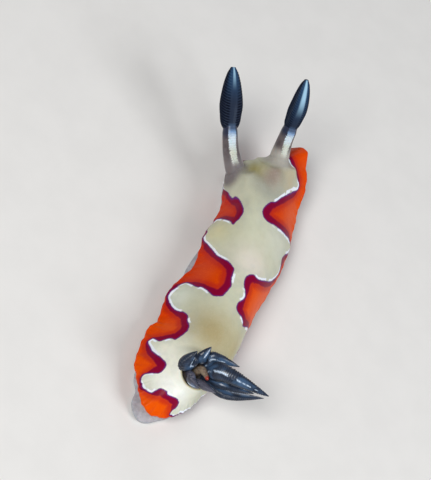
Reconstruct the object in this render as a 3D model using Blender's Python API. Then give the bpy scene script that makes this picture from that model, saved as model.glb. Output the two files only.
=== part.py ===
"""A faithful sea slug at life size, crawling with its head turned to its left.

Metres, +Z up, head towards +Y. The sole of the foot lies on z = 0, with the origin on it.
Each named part of the animal is one closed solid.
"""

import math

import bmesh
import bpy
from mathutils import Vector

MM = 0.001
GAP = 0.3 * MM
# Points nearer than this are one point
WELD = 1e-7

# The top of the back from rear to front: share of the way, then x, y and height in millimetres
BACK = [
    (0.00, -0.30, -8.0, 2.80),
    (0.25, 0.35, -4.8, 3.40),
    (0.50, 0.50, -0.6, 3.60),
    (0.75, -0.10, 4.0, 3.60),
    (1.00, -1.30, 8.0, 3.60),
]

# The margin in rays from the back. A ray's place is 0 to 1 up the right side, 1 to 2 round the head,
# 2 to 3 down the left side and 3 to 4 round the rear. Each row holds the place, how far the mantle
# reaches, how high its rim is, how steeply it hangs in degrees, and how far the foot reaches.
MARGIN = [
    (0.00, 1.90, 1.00, 70, 1.50),
    (0.25, 2.35, 1.00, 80, 1.60),
    (0.50, 2.50, 1.10, 75, 1.70),
    (0.75, 3.65, 1.30, 55, 2.00),
    (1.00, 4.25, 1.70, 30, 2.10),
    (1.10, 4.60, 2.20, 20, 2.00),
    (1.18, 4.65, 2.85, 10, 1.85),
    (1.235, 5.00, 3.20, 8, 1.70),
    (1.30, 4.20, 2.65, 18, 1.50),
    (1.36, 2.60, 1.75, 55, 1.30),
    (1.42, 2.20, 1.55, 64, 1.20),
    (1.56, 2.00, 1.40, 66, 1.10),
    (1.70, 1.60, 1.25, 70, 1.05),
    (1.82, 1.35, 1.10, 74, 1.00),
    (2.00, 1.15, 0.90, 80, 0.90),
    (2.12, 1.35, 0.95, 75, 1.05),
    (2.27, 2.25, 1.05, 65, 1.85),
    (2.42, 2.45, 1.25, 50, 2.60),
    (2.55, 3.20, 1.15, 30, 2.50),
    (2.64, 3.25, 1.10, 28, 2.45),
    (2.74, 3.00, 1.15, 30, 2.35),
    (2.83, 3.20, 1.10, 28, 2.35),
    (3.02, 2.60, 1.00, 40, 2.15),
    (3.14, 2.22, 1.10, 40, 2.05),
    (3.26, 2.15, 1.20, 40, 1.95),
    (3.37, 2.30, 1.22, 40, 2.55),
    (3.50, 2.50, 1.22, 40, 2.85),
    (3.63, 2.25, 1.20, 45, 2.15),
    (3.80, 1.90, 1.15, 55, 1.75),
]
RIM_THICKNESS = 0.5
# How full the back's curve is at its middle, and how far its curve leads into the rim
CROWN_SHARE = 0.6
CROWN_LEAN = 0.3
RIM_LEAD = 0.35
RIM_LEAD_LEAST = 0.6
UNDERSIDE_LEAD = 0.6
WALL_LEAD = 0.35
# Where the mantle ends and the foot begins, and how far the wall between them stays inside both
PARTING_HEIGHT = 1.7
WALL_INSIDE_FOOT = 0.15
WALL_INSIDE_RIM = 0.85
# The foot's side falls steeply, then runs out to a thin edge with a rounded lip
FOOT_EDGE_HEIGHT = 0.32
FOOT_SIDE_DROP = 0.75
FOOT_SIDE_FLARE = 0.35
FOOT_EDGE_RISE = 0.15
FOOT_LIP = (0.04, 0.12)
SOLE_INSET = 0.22
# How finely the body is divided
RAYS_PER_SIDE = 32
RAYS_PER_END = 24
TOP_STEPS = 11
CURVE_STEPS = 4
# How many sides the turned pieces have, and how many rings a feeler's stalk
POCKET_SIDES = 24
COLLAR_SIDES = 18
CLUB_SIDES = 16
STALK_SIDES = 14
STALK_RINGS = 7
PAPILLA_SIDES = 12
TENTACLE_SIDES = 10

# Cuts across the body, as y in millimetres from rear to front, with the parts between them
MANTLE_CUTS = (-3.1, 4.9)
MANTLE_PARTS = ("mantle_rear", "mantle_middle", "mantle_front")
FOOT_CUTS = (-6.4, 3.6)
FOOT_PARTS = ("tail", "foot_middle", "foot_front")
FAR = 30.0

# The line of each rhinophore from its root on the head to its tip, in millimetres
RHINOPHORES = {
    "left": [(-2.45, 7.80, 2.60), (-3.50, 8.65, 3.20), (-4.40, 9.65, 4.00),
             (-5.30, 10.95, 4.90), (-6.30, 12.40, 5.90)],
    "right": [(-0.35, 9.95, 3.50), (-0.70, 10.65, 4.40), (-1.00, 11.25, 5.45),
              (-1.42, 12.02, 6.80), (-2.05, 12.82, 8.30)],
}
COLLAR_TOP = 0.08
STALK_START = 0.125
STALK_END = 0.455
CLUB_START = 0.50
STALK_RADIUS = 0.55
STALK_ROOT_RADIUS = 0.68
CLUB_RADIUS = {"left": 0.80, "right": 0.66}
CLUB_DEPTH = 0.72
# The club's half width along its length, as a share of its widest
CLUB_PROFILE = [(0.0, 0.74), (0.18, 0.90), (0.42, 1.0), (0.7, 0.80), (0.9, 0.50), (1.0, 0.22)]
LAMELLAE = 11
LAMELLA_HEIGHT = 0.09
LAMELLA_SLANT = 0.45
# The slant grows from none over the first rings of the club, and fades over its last ones
SLANT_RINGS = 4
# The way that the feelers' backs face, as right, forward and up
FEELER_BACK = (0.3, -0.7, 0.65)
# The collar round each feeler's root: how far it stands off the stalk, and how far below its top
COLLAR_OUTLINE = [(0.36, -1.05), (0.26, -0.70), (0.14, -0.38), (0.05, -0.12), (0.0, 0.0)]

# The ring of gills: its centre on the back, the way its pocket faces, and sizes in millimetres
GILL_CENTRE = (0.30, -7.40, 2.88)
GILL_AXIS = (0.22, -0.22, 1.0)
POCKET_RADIUS = 1.18
POCKET_INNER_RADIUS = 0.98
POCKET_RIM = 0.30
POCKET_LIP = 0.08
POCKET_FOOT = (0.10, -0.45)
POCKET_FLOOR = 0.05
GILL_RING_RADIUS = 0.74
GILL_RING_HOLE = 0.40
GILL_RING_HEIGHT = 0.34
PAPILLA_RADIUS = 0.17
PAPILLA_HEIGHT = 0.75
# The papilla's outline, as shares of its radius and its height
PAPILLA_OUTLINE = [(1.0, 0.0), (0.9, 0.6), (0.5, 1.0)]
# Each gill branch: the angle of its root round the ring, clockwise from the head, in degrees, then
# its middle and its tip as right, forward and up from the ring's centre, and its greatest width
GILL_BRANCHES = [
    (-60, (-0.95, -0.25, 1.00), (-0.85, 0.15, 1.85), 1.20),
    (-12, (-0.25, 0.40, 1.30), (-0.15, 0.95, 1.85), 0.75),
    (24, (0.45, 0.70, 1.40), (2.05, 1.00, 1.55), 0.75),
    (56, (1.30, -0.20, 1.90), (4.15, -0.30, 2.45), 1.05),
    (92, (1.75, -0.40, 1.25), (3.50, -0.15, 1.60), 0.75),
    (130, (2.35, -0.60, 0.75), (4.30, 0.15, 1.30), 0.80),
    (175, (0.85, -0.90, 0.60), (1.45, -1.15, 1.05), 0.70),
    (225, (-0.05, -0.95, 0.45), (0.40, -1.45, 0.95), 0.80),
]
# A branch's bend between its root and its middle: how far along it lies, and how far above
GILL_BEND = 0.4
GILL_RISE = 0.25
# How far a branch's keel faces down as well as out
KEEL_DROP = 0.7
GILL_STEPS = 15
# A gill branch's width along its length, its keel and its two pleated flanges, as shares of its
# half width
GILL_PROFILE = [(0.0, 0.42), (0.3, 0.85), (0.6, 1.0), (0.85, 0.6), (1.0, 0.12)]
KEEL_OUT = 0.75
FLANGE_IN = 0.45
GROOVE = (0.35, 0.35)
PLEAT_DEPTH = 0.32

# The snout below the front of the mantle, from the front end of the back
SNOUT_AHEAD = 1.74
SNOUT_ASIDE = 0.25
SNOUT_HEIGHT = 0.62
SNOUT_SIZE = (0.65, 0.50, 0.40)
MOUTH_SIZE = (0.10, 0.30, 0.24)
# An oral tentacle's length, its radii at its root and tip, and how far it turns aside
TENTACLE_LENGTH = 0.55
TENTACLE_RADII = (0.20, 0.11)
# The tentacle's outline: how far its radius has gone from root to tip, by share of its length
TENTACLE_OUTLINE = [(0.0, 0.0), (0.1, 0.3), (1.0, 0.85), (1.6, 1.0)]
TENTACLE_TURN = 0.35
TENTACLE_FORWARD = 0.1

# Colour, roughness and metallic value of each kind of flesh
FLESH = {
    "mantle": ((0.62, 0.58, 0.42), 0.35),
    "foot": ((0.55, 0.55, 0.54), 0.35),
    "snout": ((0.62, 0.60, 0.55), 0.35),
    "tentacle": ((0.60, 0.60, 0.58), 0.35),
    "stalk": ((0.45, 0.42, 0.40), 0.30),
    "club": ((0.03, 0.05, 0.10), 0.30),
    "gill": ((0.05, 0.07, 0.12), 0.30),
    "papilla": ((0.55, 0.12, 0.05), 0.35),
}


def clear_scene():
    for item in list(bpy.data.objects):
        bpy.data.objects.remove(item, do_unlink=True)


def new_collection(name):
    collection = bpy.data.collections.new(name)
    bpy.context.scene.collection.children.link(collection)
    return collection


def flesh_material(kind):
    found = bpy.data.materials.get(kind)
    if found:
        return found
    colour, roughness = FLESH[kind]
    material = bpy.data.materials.new(kind)
    material.use_nodes = True
    shader = material.node_tree.nodes["Principled BSDF"]
    shader.inputs["Base Color"].default_value = (*colour, 1.0)
    shader.inputs["Roughness"].default_value = roughness
    shader.inputs["Metallic"].default_value = 0.0
    return material


def smooth_row(table, place, period=None):
    """The values at a place along a table of rows, on a smooth curve through them all."""
    rows = list(table)
    if period:
        place = (place - rows[0][0]) % period + rows[0][0]
        before = (rows[-1][0] - period, *rows[-1][1:])
        after = [(row[0] + period, *row[1:]) for row in rows[:2]]
        rows = [before, *rows, *after]
    else:
        place = min(max(place, rows[0][0]), rows[-1][0])
        before = [2 * a - b for a, b in zip(rows[0], rows[1])]
        after = [2 * a - b for a, b in zip(rows[-1], rows[-2])]
        rows = [before, *rows, after]
    i = 1
    while i < len(rows) - 3 and place > rows[i + 1][0]:
        i += 1
    r0, r1, r2, r3 = rows[i - 1:i + 3]
    step = r2[0] - r1[0]
    u = (place - r1[0]) / step
    values = []
    for a, b, c, d in zip(r0[1:], r1[1:], r2[1:], r3[1:]):
        start = (c - a) / (r2[0] - r0[0]) * step
        end = (d - b) / (r3[0] - r1[0]) * step
        values.append(
            b * (2 * u**3 - 3 * u**2 + 1) + start * (u**3 - 2 * u**2 + u)
            + c * (3 * u**2 - 2 * u**3) + end * (u**3 - u**2)
        )
    return values


def bezier(points, share):
    a, b, c, d = points
    rest = 1 - share
    return a * rest**3 + 3 * b * rest**2 * share + 3 * c * rest * share**2 + d * share**3


def heading(share):
    """The level direction of the back at a share of its length, and its rise for each unit ahead."""
    behind = Vector(smooth_row(BACK, max(0.0, share - 0.01)))
    ahead = Vector(smooth_row(BACK, min(1.0, share + 0.01)))
    step = ahead - behind
    level = Vector((step.x, step.y))
    return level.normalized(), step.z / level.length


def ray(place):
    """Where a ray starts, at what height, which way it runs, and the rise of the back along it."""
    place %= 4
    if place <= 1:
        share, turn = place, -90
    elif place <= 2:
        share, turn = 1.0, 180 * (place - 1) - 90
    elif place <= 3:
        share, turn = 3 - place, 90
    else:
        share, turn = 0.0, 180 * (place - 3) + 90
    x, y, height = smooth_row(BACK, share)
    ahead, rise = heading(share)
    angle = math.radians(turn)
    way = Vector((
        ahead.x * math.cos(angle) - ahead.y * math.sin(angle),
        ahead.x * math.sin(angle) + ahead.y * math.cos(angle),
    ))
    return Vector((x, y)), height, way, rise * way.dot(ahead)


def ray_places():
    places = []
    for base, count in ((0, RAYS_PER_SIDE), (1, RAYS_PER_END), (2, RAYS_PER_SIDE), (3, RAYS_PER_END)):
        places += [base + i / count for i in range(count)]
    return places


def top_curve(place):
    """The control points of the back's curve along one ray, from its top out to the rim."""
    _, height, _, rise = ray(place)
    reach, rim, steepness, _ = smooth_row(MARGIN, place, 4)
    angle = math.radians(steepness)
    outward = Vector((math.cos(angle), -math.sin(angle)))
    tip = Vector((reach, rim))
    crown = Vector((CROWN_SHARE * reach, height + CROWN_LEAN * rise * reach))
    lead = RIM_LEAD * (height - rim + RIM_LEAD_LEAST)
    return [Vector((0, height)), crown, tip - lead * outward, tip], outward


def wall_radius(place):
    reach, _, _, foot = smooth_row(MARGIN, place, 4)
    return min(foot - WALL_INSIDE_FOOT, reach - WALL_INSIDE_RIM)


def mantle_section(place):
    """Points (distance out, height) from the top of the back round the rim to the parting."""
    controls, outward = top_curve(place)
    tip = controls[3]
    inward = Vector((outward.y, -outward.x))
    points = [bezier(controls, i / TOP_STEPS) for i in range(TOP_STEPS + 1)]
    middle = tip + inward * RIM_THICKNESS / 2
    for angle in (math.radians(60), math.radians(120)):
        lip = UNDERSIDE_LEAD * math.sin(angle) * outward - math.cos(angle) * inward
        points.append(middle + lip * RIM_THICKNESS / 2)
    under = tip + inward * RIM_THICKNESS
    wall = Vector((wall_radius(place), PARTING_HEIGHT))
    below = [under, under - UNDERSIDE_LEAD * outward, wall + Vector((WALL_LEAD, 0)), wall]
    points += [bezier(below, i / CURVE_STEPS) for i in range(CURVE_STEPS + 1)]
    points.append(Vector((0, PARTING_HEIGHT)))
    return points


def foot_section(place):
    """Points (distance out, height) from the middle of the foot's top down to the middle of its sole."""
    _, _, _, reach = smooth_row(MARGIN, place, 4)
    top = Vector((wall_radius(place), PARTING_HEIGHT - GAP / MM))
    edge = Vector((reach, FOOT_EDGE_HEIGHT))
    flare = FOOT_SIDE_FLARE * (top.x - reach - RIM_THICKNESS / 2)
    side = [top, top - Vector((0, FOOT_SIDE_DROP)), edge + Vector((flare, FOOT_EDGE_RISE)), edge]
    lip_in, lip_height = FOOT_LIP
    points = [Vector((0, top.y))]
    points += [bezier(side, i / CURVE_STEPS) for i in range(CURVE_STEPS + 1)]
    points += [Vector((reach - lip_in, lip_height)), Vector((reach - SOLE_INSET, 0)), Vector((0, 0))]
    return points


def new_object(name, verts, faces, collection):
    """One closed mesh object, with doubled points welded and faces turned outwards."""
    mesh = bpy.data.meshes.new(name)
    mesh.from_pydata([point * MM for point in verts], [], faces)
    work = bmesh.new()
    work.from_mesh(mesh)
    bmesh.ops.remove_doubles(work, verts=work.verts, dist=WELD)
    bmesh.ops.triangulate(work, faces=work.faces)
    bmesh.ops.recalc_face_normals(work, faces=work.faces)
    work.to_mesh(mesh)
    work.free()
    made = bpy.data.objects.new(name, mesh)
    collection.objects.link(made)
    return made


def body_of_rays(name, section, collection):
    """A closed body from the sections along every ray, sewn together round the loop."""
    columns = []
    for place in ray_places():
        start, _, way, _ = ray(place)
        columns.append([Vector((*(start + way * p.x), p.y)) for p in section(place)])
    rows = len(columns[0])
    verts = [point for column in columns for point in column]
    faces = []
    for i in range(len(columns)):
        near, far = i * rows, (i + 1) % len(columns) * rows
        for j in range(rows - 1):
            faces.append((near + j, far + j, far + j + 1, near + j + 1))
    return new_object(name, verts, faces, collection)


def rings_body(name, rings, collection):
    """A closed body from rings of equal count, with a fan over each end."""
    count = len(rings[0])
    verts = [point for ring in rings for point in ring]
    faces = []
    for i in range(len(rings) - 1):
        for j in range(count):
            k = (j + 1) % count
            a, b = i * count, (i + 1) * count
            faces.append((a + j, a + k, b + k, b + j))
    for first, ring in ((0, rings[0]), ((len(rings) - 1) * count, rings[-1])):
        verts.append(sum(ring, Vector()) / count)
        faces += [(first + j, first + (j + 1) % count, len(verts) - 1) for j in range(count)]
    return new_object(name, verts, faces, collection)


def frame_of(axis, reference):
    """Two unit vectors square to an axis, the first as near as can be to the reference."""
    axis = axis.normalized()
    first = (reference - axis * reference.dot(axis)).normalized()
    return first, axis.cross(first)


def curve_point(points, share):
    table = [(i / (len(points) - 1), *point) for i, point in enumerate(points)]
    return Vector(smooth_row(table, share))


def curve_way(points, share):
    step = curve_point(points, min(1.0, share + 0.01)) - curve_point(points, max(0.0, share - 0.01))
    return step.normalized()


def turned_body(name, centre, axis, outline, sides, collection):
    """A body turned about an axis from an outline of (radius, height) points."""
    first, second = frame_of(axis, Vector((0, 1, 0)))
    rings = []
    for radius, height in outline:
        middle = centre + axis.normalized() * height
        rings.append([
            middle + radius * (first * math.cos(a) + second * math.sin(a))
            for a in (2 * math.pi * k / sides for k in range(sides))
        ])
    return rings_body(name, rings, collection)


def add_boolean(target, other, operation):
    other.hide_render = True
    other.display_type = "WIRE"
    modifier = target.modifiers.new(operation.lower(), "BOOLEAN")
    modifier.operation = operation
    modifier.solver = "EXACT"
    modifier.object = other


def finish(item, kind):
    item.data.materials.clear()
    item.data.materials.append(flesh_material(kind))
    item.data.shade_smooth()


def slab(name, low, high, collection):
    """A block that holds what lies between two values of y, as a cutter."""
    work = bmesh.new()
    bmesh.ops.create_cube(work, size=1.0)
    size = Vector((FAR, high - low, FAR))
    for vert in work.verts:
        vert.co = Vector((a * b for a, b in zip(vert.co, size)))
        vert.co.y += (low + high) / 2
        vert.co *= MM
    mesh = bpy.data.meshes.new(name)
    work.to_mesh(mesh)
    work.free()
    block = bpy.data.objects.new(name, mesh)
    collection.objects.link(block)
    return block


def part_by_cuts(whole, names, cuts, kind, parts, cutters):
    """Splits a whole body into its named lengths, half a gap to each side of every cut."""
    made = {}
    half = GAP / MM / 2
    bounds = [-FAR, *cuts, FAR]
    for name, low, high in zip(names, bounds, bounds[1:]):
        piece = whole.copy()
        piece.data = whole.data.copy()
        piece.name = name
        parts.objects.link(piece)
        block = slab("cut_" + name, low + half, high - half, cutters)
        add_boolean(piece, block, "INTERSECT")
        finish(piece, kind)
        made[name] = piece
    bpy.data.objects.remove(whole, do_unlink=True)
    return made


def oval_ring(centre, way, up, width, depth, sides, slant=0.0):
    """A ring round a centre, wider to the sides than along up, and slanted along its way."""
    first, second = frame_of(way, up)
    ring = []
    for k in range(sides):
        angle = 2 * math.pi * k / sides
        out = first * math.cos(angle) * depth + second * math.sin(angle) * width
        ring.append(centre + out - way * slant * abs(math.sin(angle)) * -width)
    return ring


def stalk_radius(share):
    spread = max(0.0, 1 - (share - COLLAR_TOP) / (STALK_END - COLLAR_TOP))
    return STALK_RADIUS + (STALK_ROOT_RADIUS - STALK_RADIUS) * spread**2


def club_radius(side, share):
    """The half width of the club: a narrow foot, widest below its middle, and a blunt tip."""
    along = (share - CLUB_START) / (1 - CLUB_START)
    return CLUB_RADIUS[side] * smooth_row(CLUB_PROFILE, along)[0]


def make_collar(side, mantle, cutters):
    """The low sleeve of the mantle round the root of a rhinophore."""
    line = RHINOPHORES[side]
    way = curve_way(line, COLLAR_TOP)
    top = curve_point(line, COLLAR_TOP)
    radius = stalk_radius(COLLAR_TOP)
    outline = [(radius + spread, height) for spread, height in COLLAR_OUTLINE]
    collar = turned_body("collar_" + side, top, way, outline, COLLAR_SIDES, cutters)
    add_boolean(mantle, collar, "UNION")


def make_rhinophore(side, parts):
    line = RHINOPHORES[side]
    back = Vector(FEELER_BACK)
    rings = []
    for i in range(STALK_RINGS):
        share = STALK_START + (STALK_END - STALK_START) * i / (STALK_RINGS - 1)
        radius = stalk_radius(share)
        point = curve_point(line, share)
        rings.append(oval_ring(point, curve_way(line, share), back, radius, radius, STALK_SIDES))
    stalk = rings_body(f"rhinophore_{side}_stalk", rings, parts)
    finish(stalk, "stalk")
    rings = []
    steps = 2 * LAMELLAE + 2
    for i in range(steps + 1):
        share = CLUB_START + (1 - CLUB_START) * i / steps
        width = club_radius(side, share)
        if 0 < i < steps - 1 and i % 2 == 0:
            width -= LAMELLA_HEIGHT * width / CLUB_RADIUS[side]
        slant = LAMELLA_SLANT * min(1.0, i / SLANT_RINGS, (steps - i) / SLANT_RINGS)
        way = curve_way(line, share)
        centre = curve_point(line, share) - way * slant * width / 2
        rings.append(oval_ring(centre, way, back, width, width * CLUB_DEPTH, CLUB_SIDES, slant))
    club = rings_body(f"rhinophore_{side}_club", rings, parts)
    finish(club, "club")


def make_gill_pocket(mantle, cutters):
    """The raised rim of the mantle round the ring of gills, with the floor inside it."""
    spread, depth = POCKET_FOOT
    outline = [
        (POCKET_RADIUS + spread, depth),
        (POCKET_RADIUS + POCKET_LIP, 0.0),
        (POCKET_RADIUS, POCKET_RIM - POCKET_LIP),
        ((POCKET_RADIUS + POCKET_INNER_RADIUS) / 2, POCKET_RIM),
        (POCKET_INNER_RADIUS, POCKET_RIM - POCKET_LIP),
        (POCKET_INNER_RADIUS, POCKET_FLOOR),
    ]
    centre, axis = Vector(GILL_CENTRE), Vector(GILL_AXIS)
    rim = turned_body("gill_pocket", centre, axis, outline, POCKET_SIDES, cutters)
    add_boolean(mantle, rim, "UNION")


def gill_branch(name, angle, middle, tip, width, collection):
    """One feathered gill branch: a keel outside, two flanges inside, and pleats along both."""
    centre, axis = Vector(GILL_CENTRE), Vector(GILL_AXIS).normalized()
    ahead, left = frame_of(axis, Vector((0, 1, 0)))
    turn = math.radians(angle)
    outward = ahead * math.cos(turn) - left * math.sin(turn)
    floor = POCKET_FLOOR + GAP / MM
    ring_middle = (GILL_RING_RADIUS + GILL_RING_HOLE) / 2
    root = centre + axis * (floor + GILL_RING_HEIGHT / 2) + outward * ring_middle
    bend = root.lerp(centre + Vector(middle), GILL_BEND) + axis * GILL_RISE
    line = [root, bend, centre + Vector(middle), centre + Vector(tip)]
    rings = []
    for i in range(GILL_STEPS + 1):
        share = i / GILL_STEPS
        point = curve_point(line, share)
        out, side = frame_of(curve_way(line, share), outward - axis * KEEL_DROP)
        half = width * smooth_row(GILL_PROFILE, share)[0] / 2
        pleat = 1.0 if i % 2 else 1.0 - PLEAT_DEPTH
        groove_side, groove_in = GROOVE
        section = [(0, KEEL_OUT), (pleat, -FLANGE_IN), (groove_side, -groove_in)]
        section += [(-groove_side, -groove_in), (-pleat, -FLANGE_IN)]
        rings.append([point + (side * a + out * b) * half for a, b in section])
    return rings_body(name, rings, collection)


def make_gills(parts, cutters):
    """The ring that carries the gills, fused with all its branches into one body."""
    floor = POCKET_FLOOR + GAP / MM
    outline = [
        (GILL_RING_HOLE, floor),
        (GILL_RING_RADIUS, floor),
        (GILL_RING_RADIUS, floor + GILL_RING_HEIGHT),
        (GILL_RING_HOLE, floor + GILL_RING_HEIGHT),
    ]
    centre, axis = Vector(GILL_CENTRE), Vector(GILL_AXIS)
    ring = turned_ring("gills", centre, axis, outline, POCKET_SIDES, parts)
    branches = new_collection("gill branches")
    for i, (angle, middle, tip, width) in enumerate(GILL_BRANCHES):
        branch = gill_branch(f"gill_branch_{i + 1}", angle, middle, tip, width, branches)
        branch.hide_render = True
    modifier = ring.modifiers.new("union", "BOOLEAN")
    modifier.operation = "UNION"
    modifier.operand_type = "COLLECTION"
    modifier.collection = branches
    modifier.solver = "MANIFOLD"
    keep_largest(ring)
    for branch in list(branches.objects):
        bpy.data.objects.remove(branch, do_unlink=True)
    bpy.data.collections.remove(branches)
    finish(ring, "gill")


def turned_ring(name, centre, axis, outline, sides, collection):
    """A ring turned about an axis from a closed outline of (radius, height) points."""
    first, second = frame_of(axis, Vector((0, 1, 0)))
    verts = []
    for k in range(sides):
        angle = 2 * math.pi * k / sides
        out = first * math.cos(angle) + second * math.sin(angle)
        verts += [centre + axis.normalized() * height + out * radius for radius, height in outline]
    count = len(outline)
    faces = []
    for k in range(sides):
        a, b = k * count, (k + 1) % sides * count
        for j in range(count):
            n = (j + 1) % count
            faces.append((a + j, a + n, b + n, b + j))
    return new_object(name, verts, faces, collection)


def keep_largest(item):
    """Applies an object's modifiers and keeps its largest closed surface."""
    graph = bpy.context.evaluated_depsgraph_get()
    mesh = bpy.data.meshes.new_from_object(item.evaluated_get(graph))
    item.modifiers.clear()
    item.data = mesh
    work = bmesh.new()
    work.from_mesh(mesh)
    left = set(work.verts)
    shells = []
    while left:
        shell, edge = set(), [left.pop()]
        while edge:
            vert = edge.pop()
            shell.add(vert)
            for link in vert.link_edges:
                other = link.other_vert(vert)
                if other in left:
                    left.discard(other)
                    edge.append(other)
        shells.append(shell)
    largest = max(shells, key=len)
    bmesh.ops.delete(work, geom=[v for v in work.verts if v not in largest], context="VERTS")
    work.to_mesh(mesh)
    work.free()


def make_papilla(parts):
    floor = POCKET_FLOOR + GAP / MM
    outline = [(PAPILLA_RADIUS * width, floor + PAPILLA_HEIGHT * rise) for width, rise in PAPILLA_OUTLINE]
    centre, axis = Vector(GILL_CENTRE), Vector(GILL_AXIS)
    papilla = turned_body("anal_papilla", centre, axis, outline, PAPILLA_SIDES, parts)
    finish(papilla, "papilla")


def ellipsoid(name, centre, size, ahead, collection, segments=20, rings=12):
    """A rounded body whose second size runs ahead, its first across and its third up."""
    work = bmesh.new()
    bmesh.ops.create_uvsphere(work, u_segments=segments, v_segments=rings, radius=1.0)
    across = Vector((ahead.y, -ahead.x, 0))
    for vert in work.verts:
        x, y, z = vert.co
        vert.co = (centre + across * x * size[0] + ahead * y * size[1] + Vector((0, 0, z * size[2]))) * MM
    mesh = bpy.data.meshes.new(name)
    work.to_mesh(mesh)
    work.free()
    made = bpy.data.objects.new(name, mesh)
    collection.objects.link(made)
    return made


def make_snout(parts, cutters):
    """The snout, with its mouth sunk in its front, and a short oral tentacle on each side."""
    x, y, _ = smooth_row(BACK, 1.0)
    level, _ = heading(1.0)
    ahead = Vector((level.x, level.y, 0))
    across = Vector((ahead.y, -ahead.x, 0))
    centre = Vector((x, y, SNOUT_HEIGHT)) + ahead * SNOUT_AHEAD + across * SNOUT_ASIDE
    snout = ellipsoid("snout", centre, SNOUT_SIZE, ahead, parts)
    mouth_centre = centre + ahead * SNOUT_SIZE[1]
    mouth = ellipsoid("mouth_hollow", mouth_centre, MOUTH_SIZE, ahead, cutters, 12, 8)
    add_boolean(snout, mouth, "DIFFERENCE")
    finish(snout, "snout")
    for side, sign in (("left", -1), ("right", 1)):
        root = centre + across * sign * (SNOUT_SIZE[0] + GAP / MM) + ahead * TENTACLE_FORWARD
        way = (across * sign * TENTACLE_TURN + ahead).normalized()
        big, small = TENTACLE_RADII
        outline = [(big + (small - big) * gone, TENTACLE_LENGTH * share) for gone, share in TENTACLE_OUTLINE]
        tentacle = turned_body(f"oral_tentacle_{side}", root, way, outline, TENTACLE_SIDES, parts)
        finish(tentacle, "tentacle")


def main():
    clear_scene()
    parts = new_collection("faithful sea slug")
    cutters = new_collection("cutters")
    mantle = part_by_cuts(
        body_of_rays("mantle", mantle_section, cutters), MANTLE_PARTS, MANTLE_CUTS, "mantle", parts, cutters
    )
    part_by_cuts(body_of_rays("foot", foot_section, cutters), FOOT_PARTS, FOOT_CUTS, "foot", parts, cutters)
    for side in RHINOPHORES:
        make_collar(side, mantle["mantle_front"], cutters)
        make_rhinophore(side, parts)
    make_gill_pocket(mantle["mantle_rear"], cutters)
    make_gills(parts, cutters)
    make_papilla(parts)
    make_snout(parts, cutters)


main()
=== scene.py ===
"""The looks of a faithful sea slug at life size, laid out as an add-on.

One skin covers the back, the foot, the tail and the snout. The feelers, the gills, the anal papilla
and the oral tentacles are pieces of their own. Lengths inside the functions are in millimetres,
with +Y towards the head and +X to the animal's right, and meshes are made in metres.
"""

import math

import bpy
import numpy as np
from bpy.props import FloatProperty, FloatVectorProperty, IntProperty, PointerProperty
from mathutils import Matrix, Vector


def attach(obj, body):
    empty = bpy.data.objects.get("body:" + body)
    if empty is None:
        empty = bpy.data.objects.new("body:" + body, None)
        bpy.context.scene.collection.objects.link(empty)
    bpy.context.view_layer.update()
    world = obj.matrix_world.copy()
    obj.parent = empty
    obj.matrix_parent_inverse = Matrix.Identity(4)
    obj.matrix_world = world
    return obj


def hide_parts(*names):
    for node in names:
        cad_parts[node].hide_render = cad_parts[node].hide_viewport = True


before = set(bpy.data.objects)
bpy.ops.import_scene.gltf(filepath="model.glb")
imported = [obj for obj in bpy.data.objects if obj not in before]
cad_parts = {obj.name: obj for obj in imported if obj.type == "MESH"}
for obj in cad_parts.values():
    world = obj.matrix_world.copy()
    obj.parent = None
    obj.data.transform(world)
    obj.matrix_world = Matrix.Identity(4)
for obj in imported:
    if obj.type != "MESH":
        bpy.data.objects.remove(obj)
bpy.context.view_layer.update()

bl_info = {
    "name": "Faithful Sea Slug",
    "version": (1, 0, 0),
    "blender": (4, 5, 0),
    "location": "3D View > Sidebar > Sea Slug",
    "description": "Builds a life-size faithful sea slug with its feelers and gills",
    "category": "Add Mesh",
}

MM = 0.001
BODY = "root"
SKIN_NODES = ("mantle_front", "mantle_middle", "mantle_rear", "foot_front", "foot_middle", "tail", "snout")

# The top of the back from rear to front: share of the way, then x, y and height
BACK = [
    (0.00, -0.30, -8.0, 2.80),
    (0.25, 0.35, -4.8, 3.40),
    (0.50, 0.50, -0.6, 3.60),
    (0.75, -0.10, 4.0, 3.60),
    (1.00, -1.30, 8.0, 3.60),
]

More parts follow.
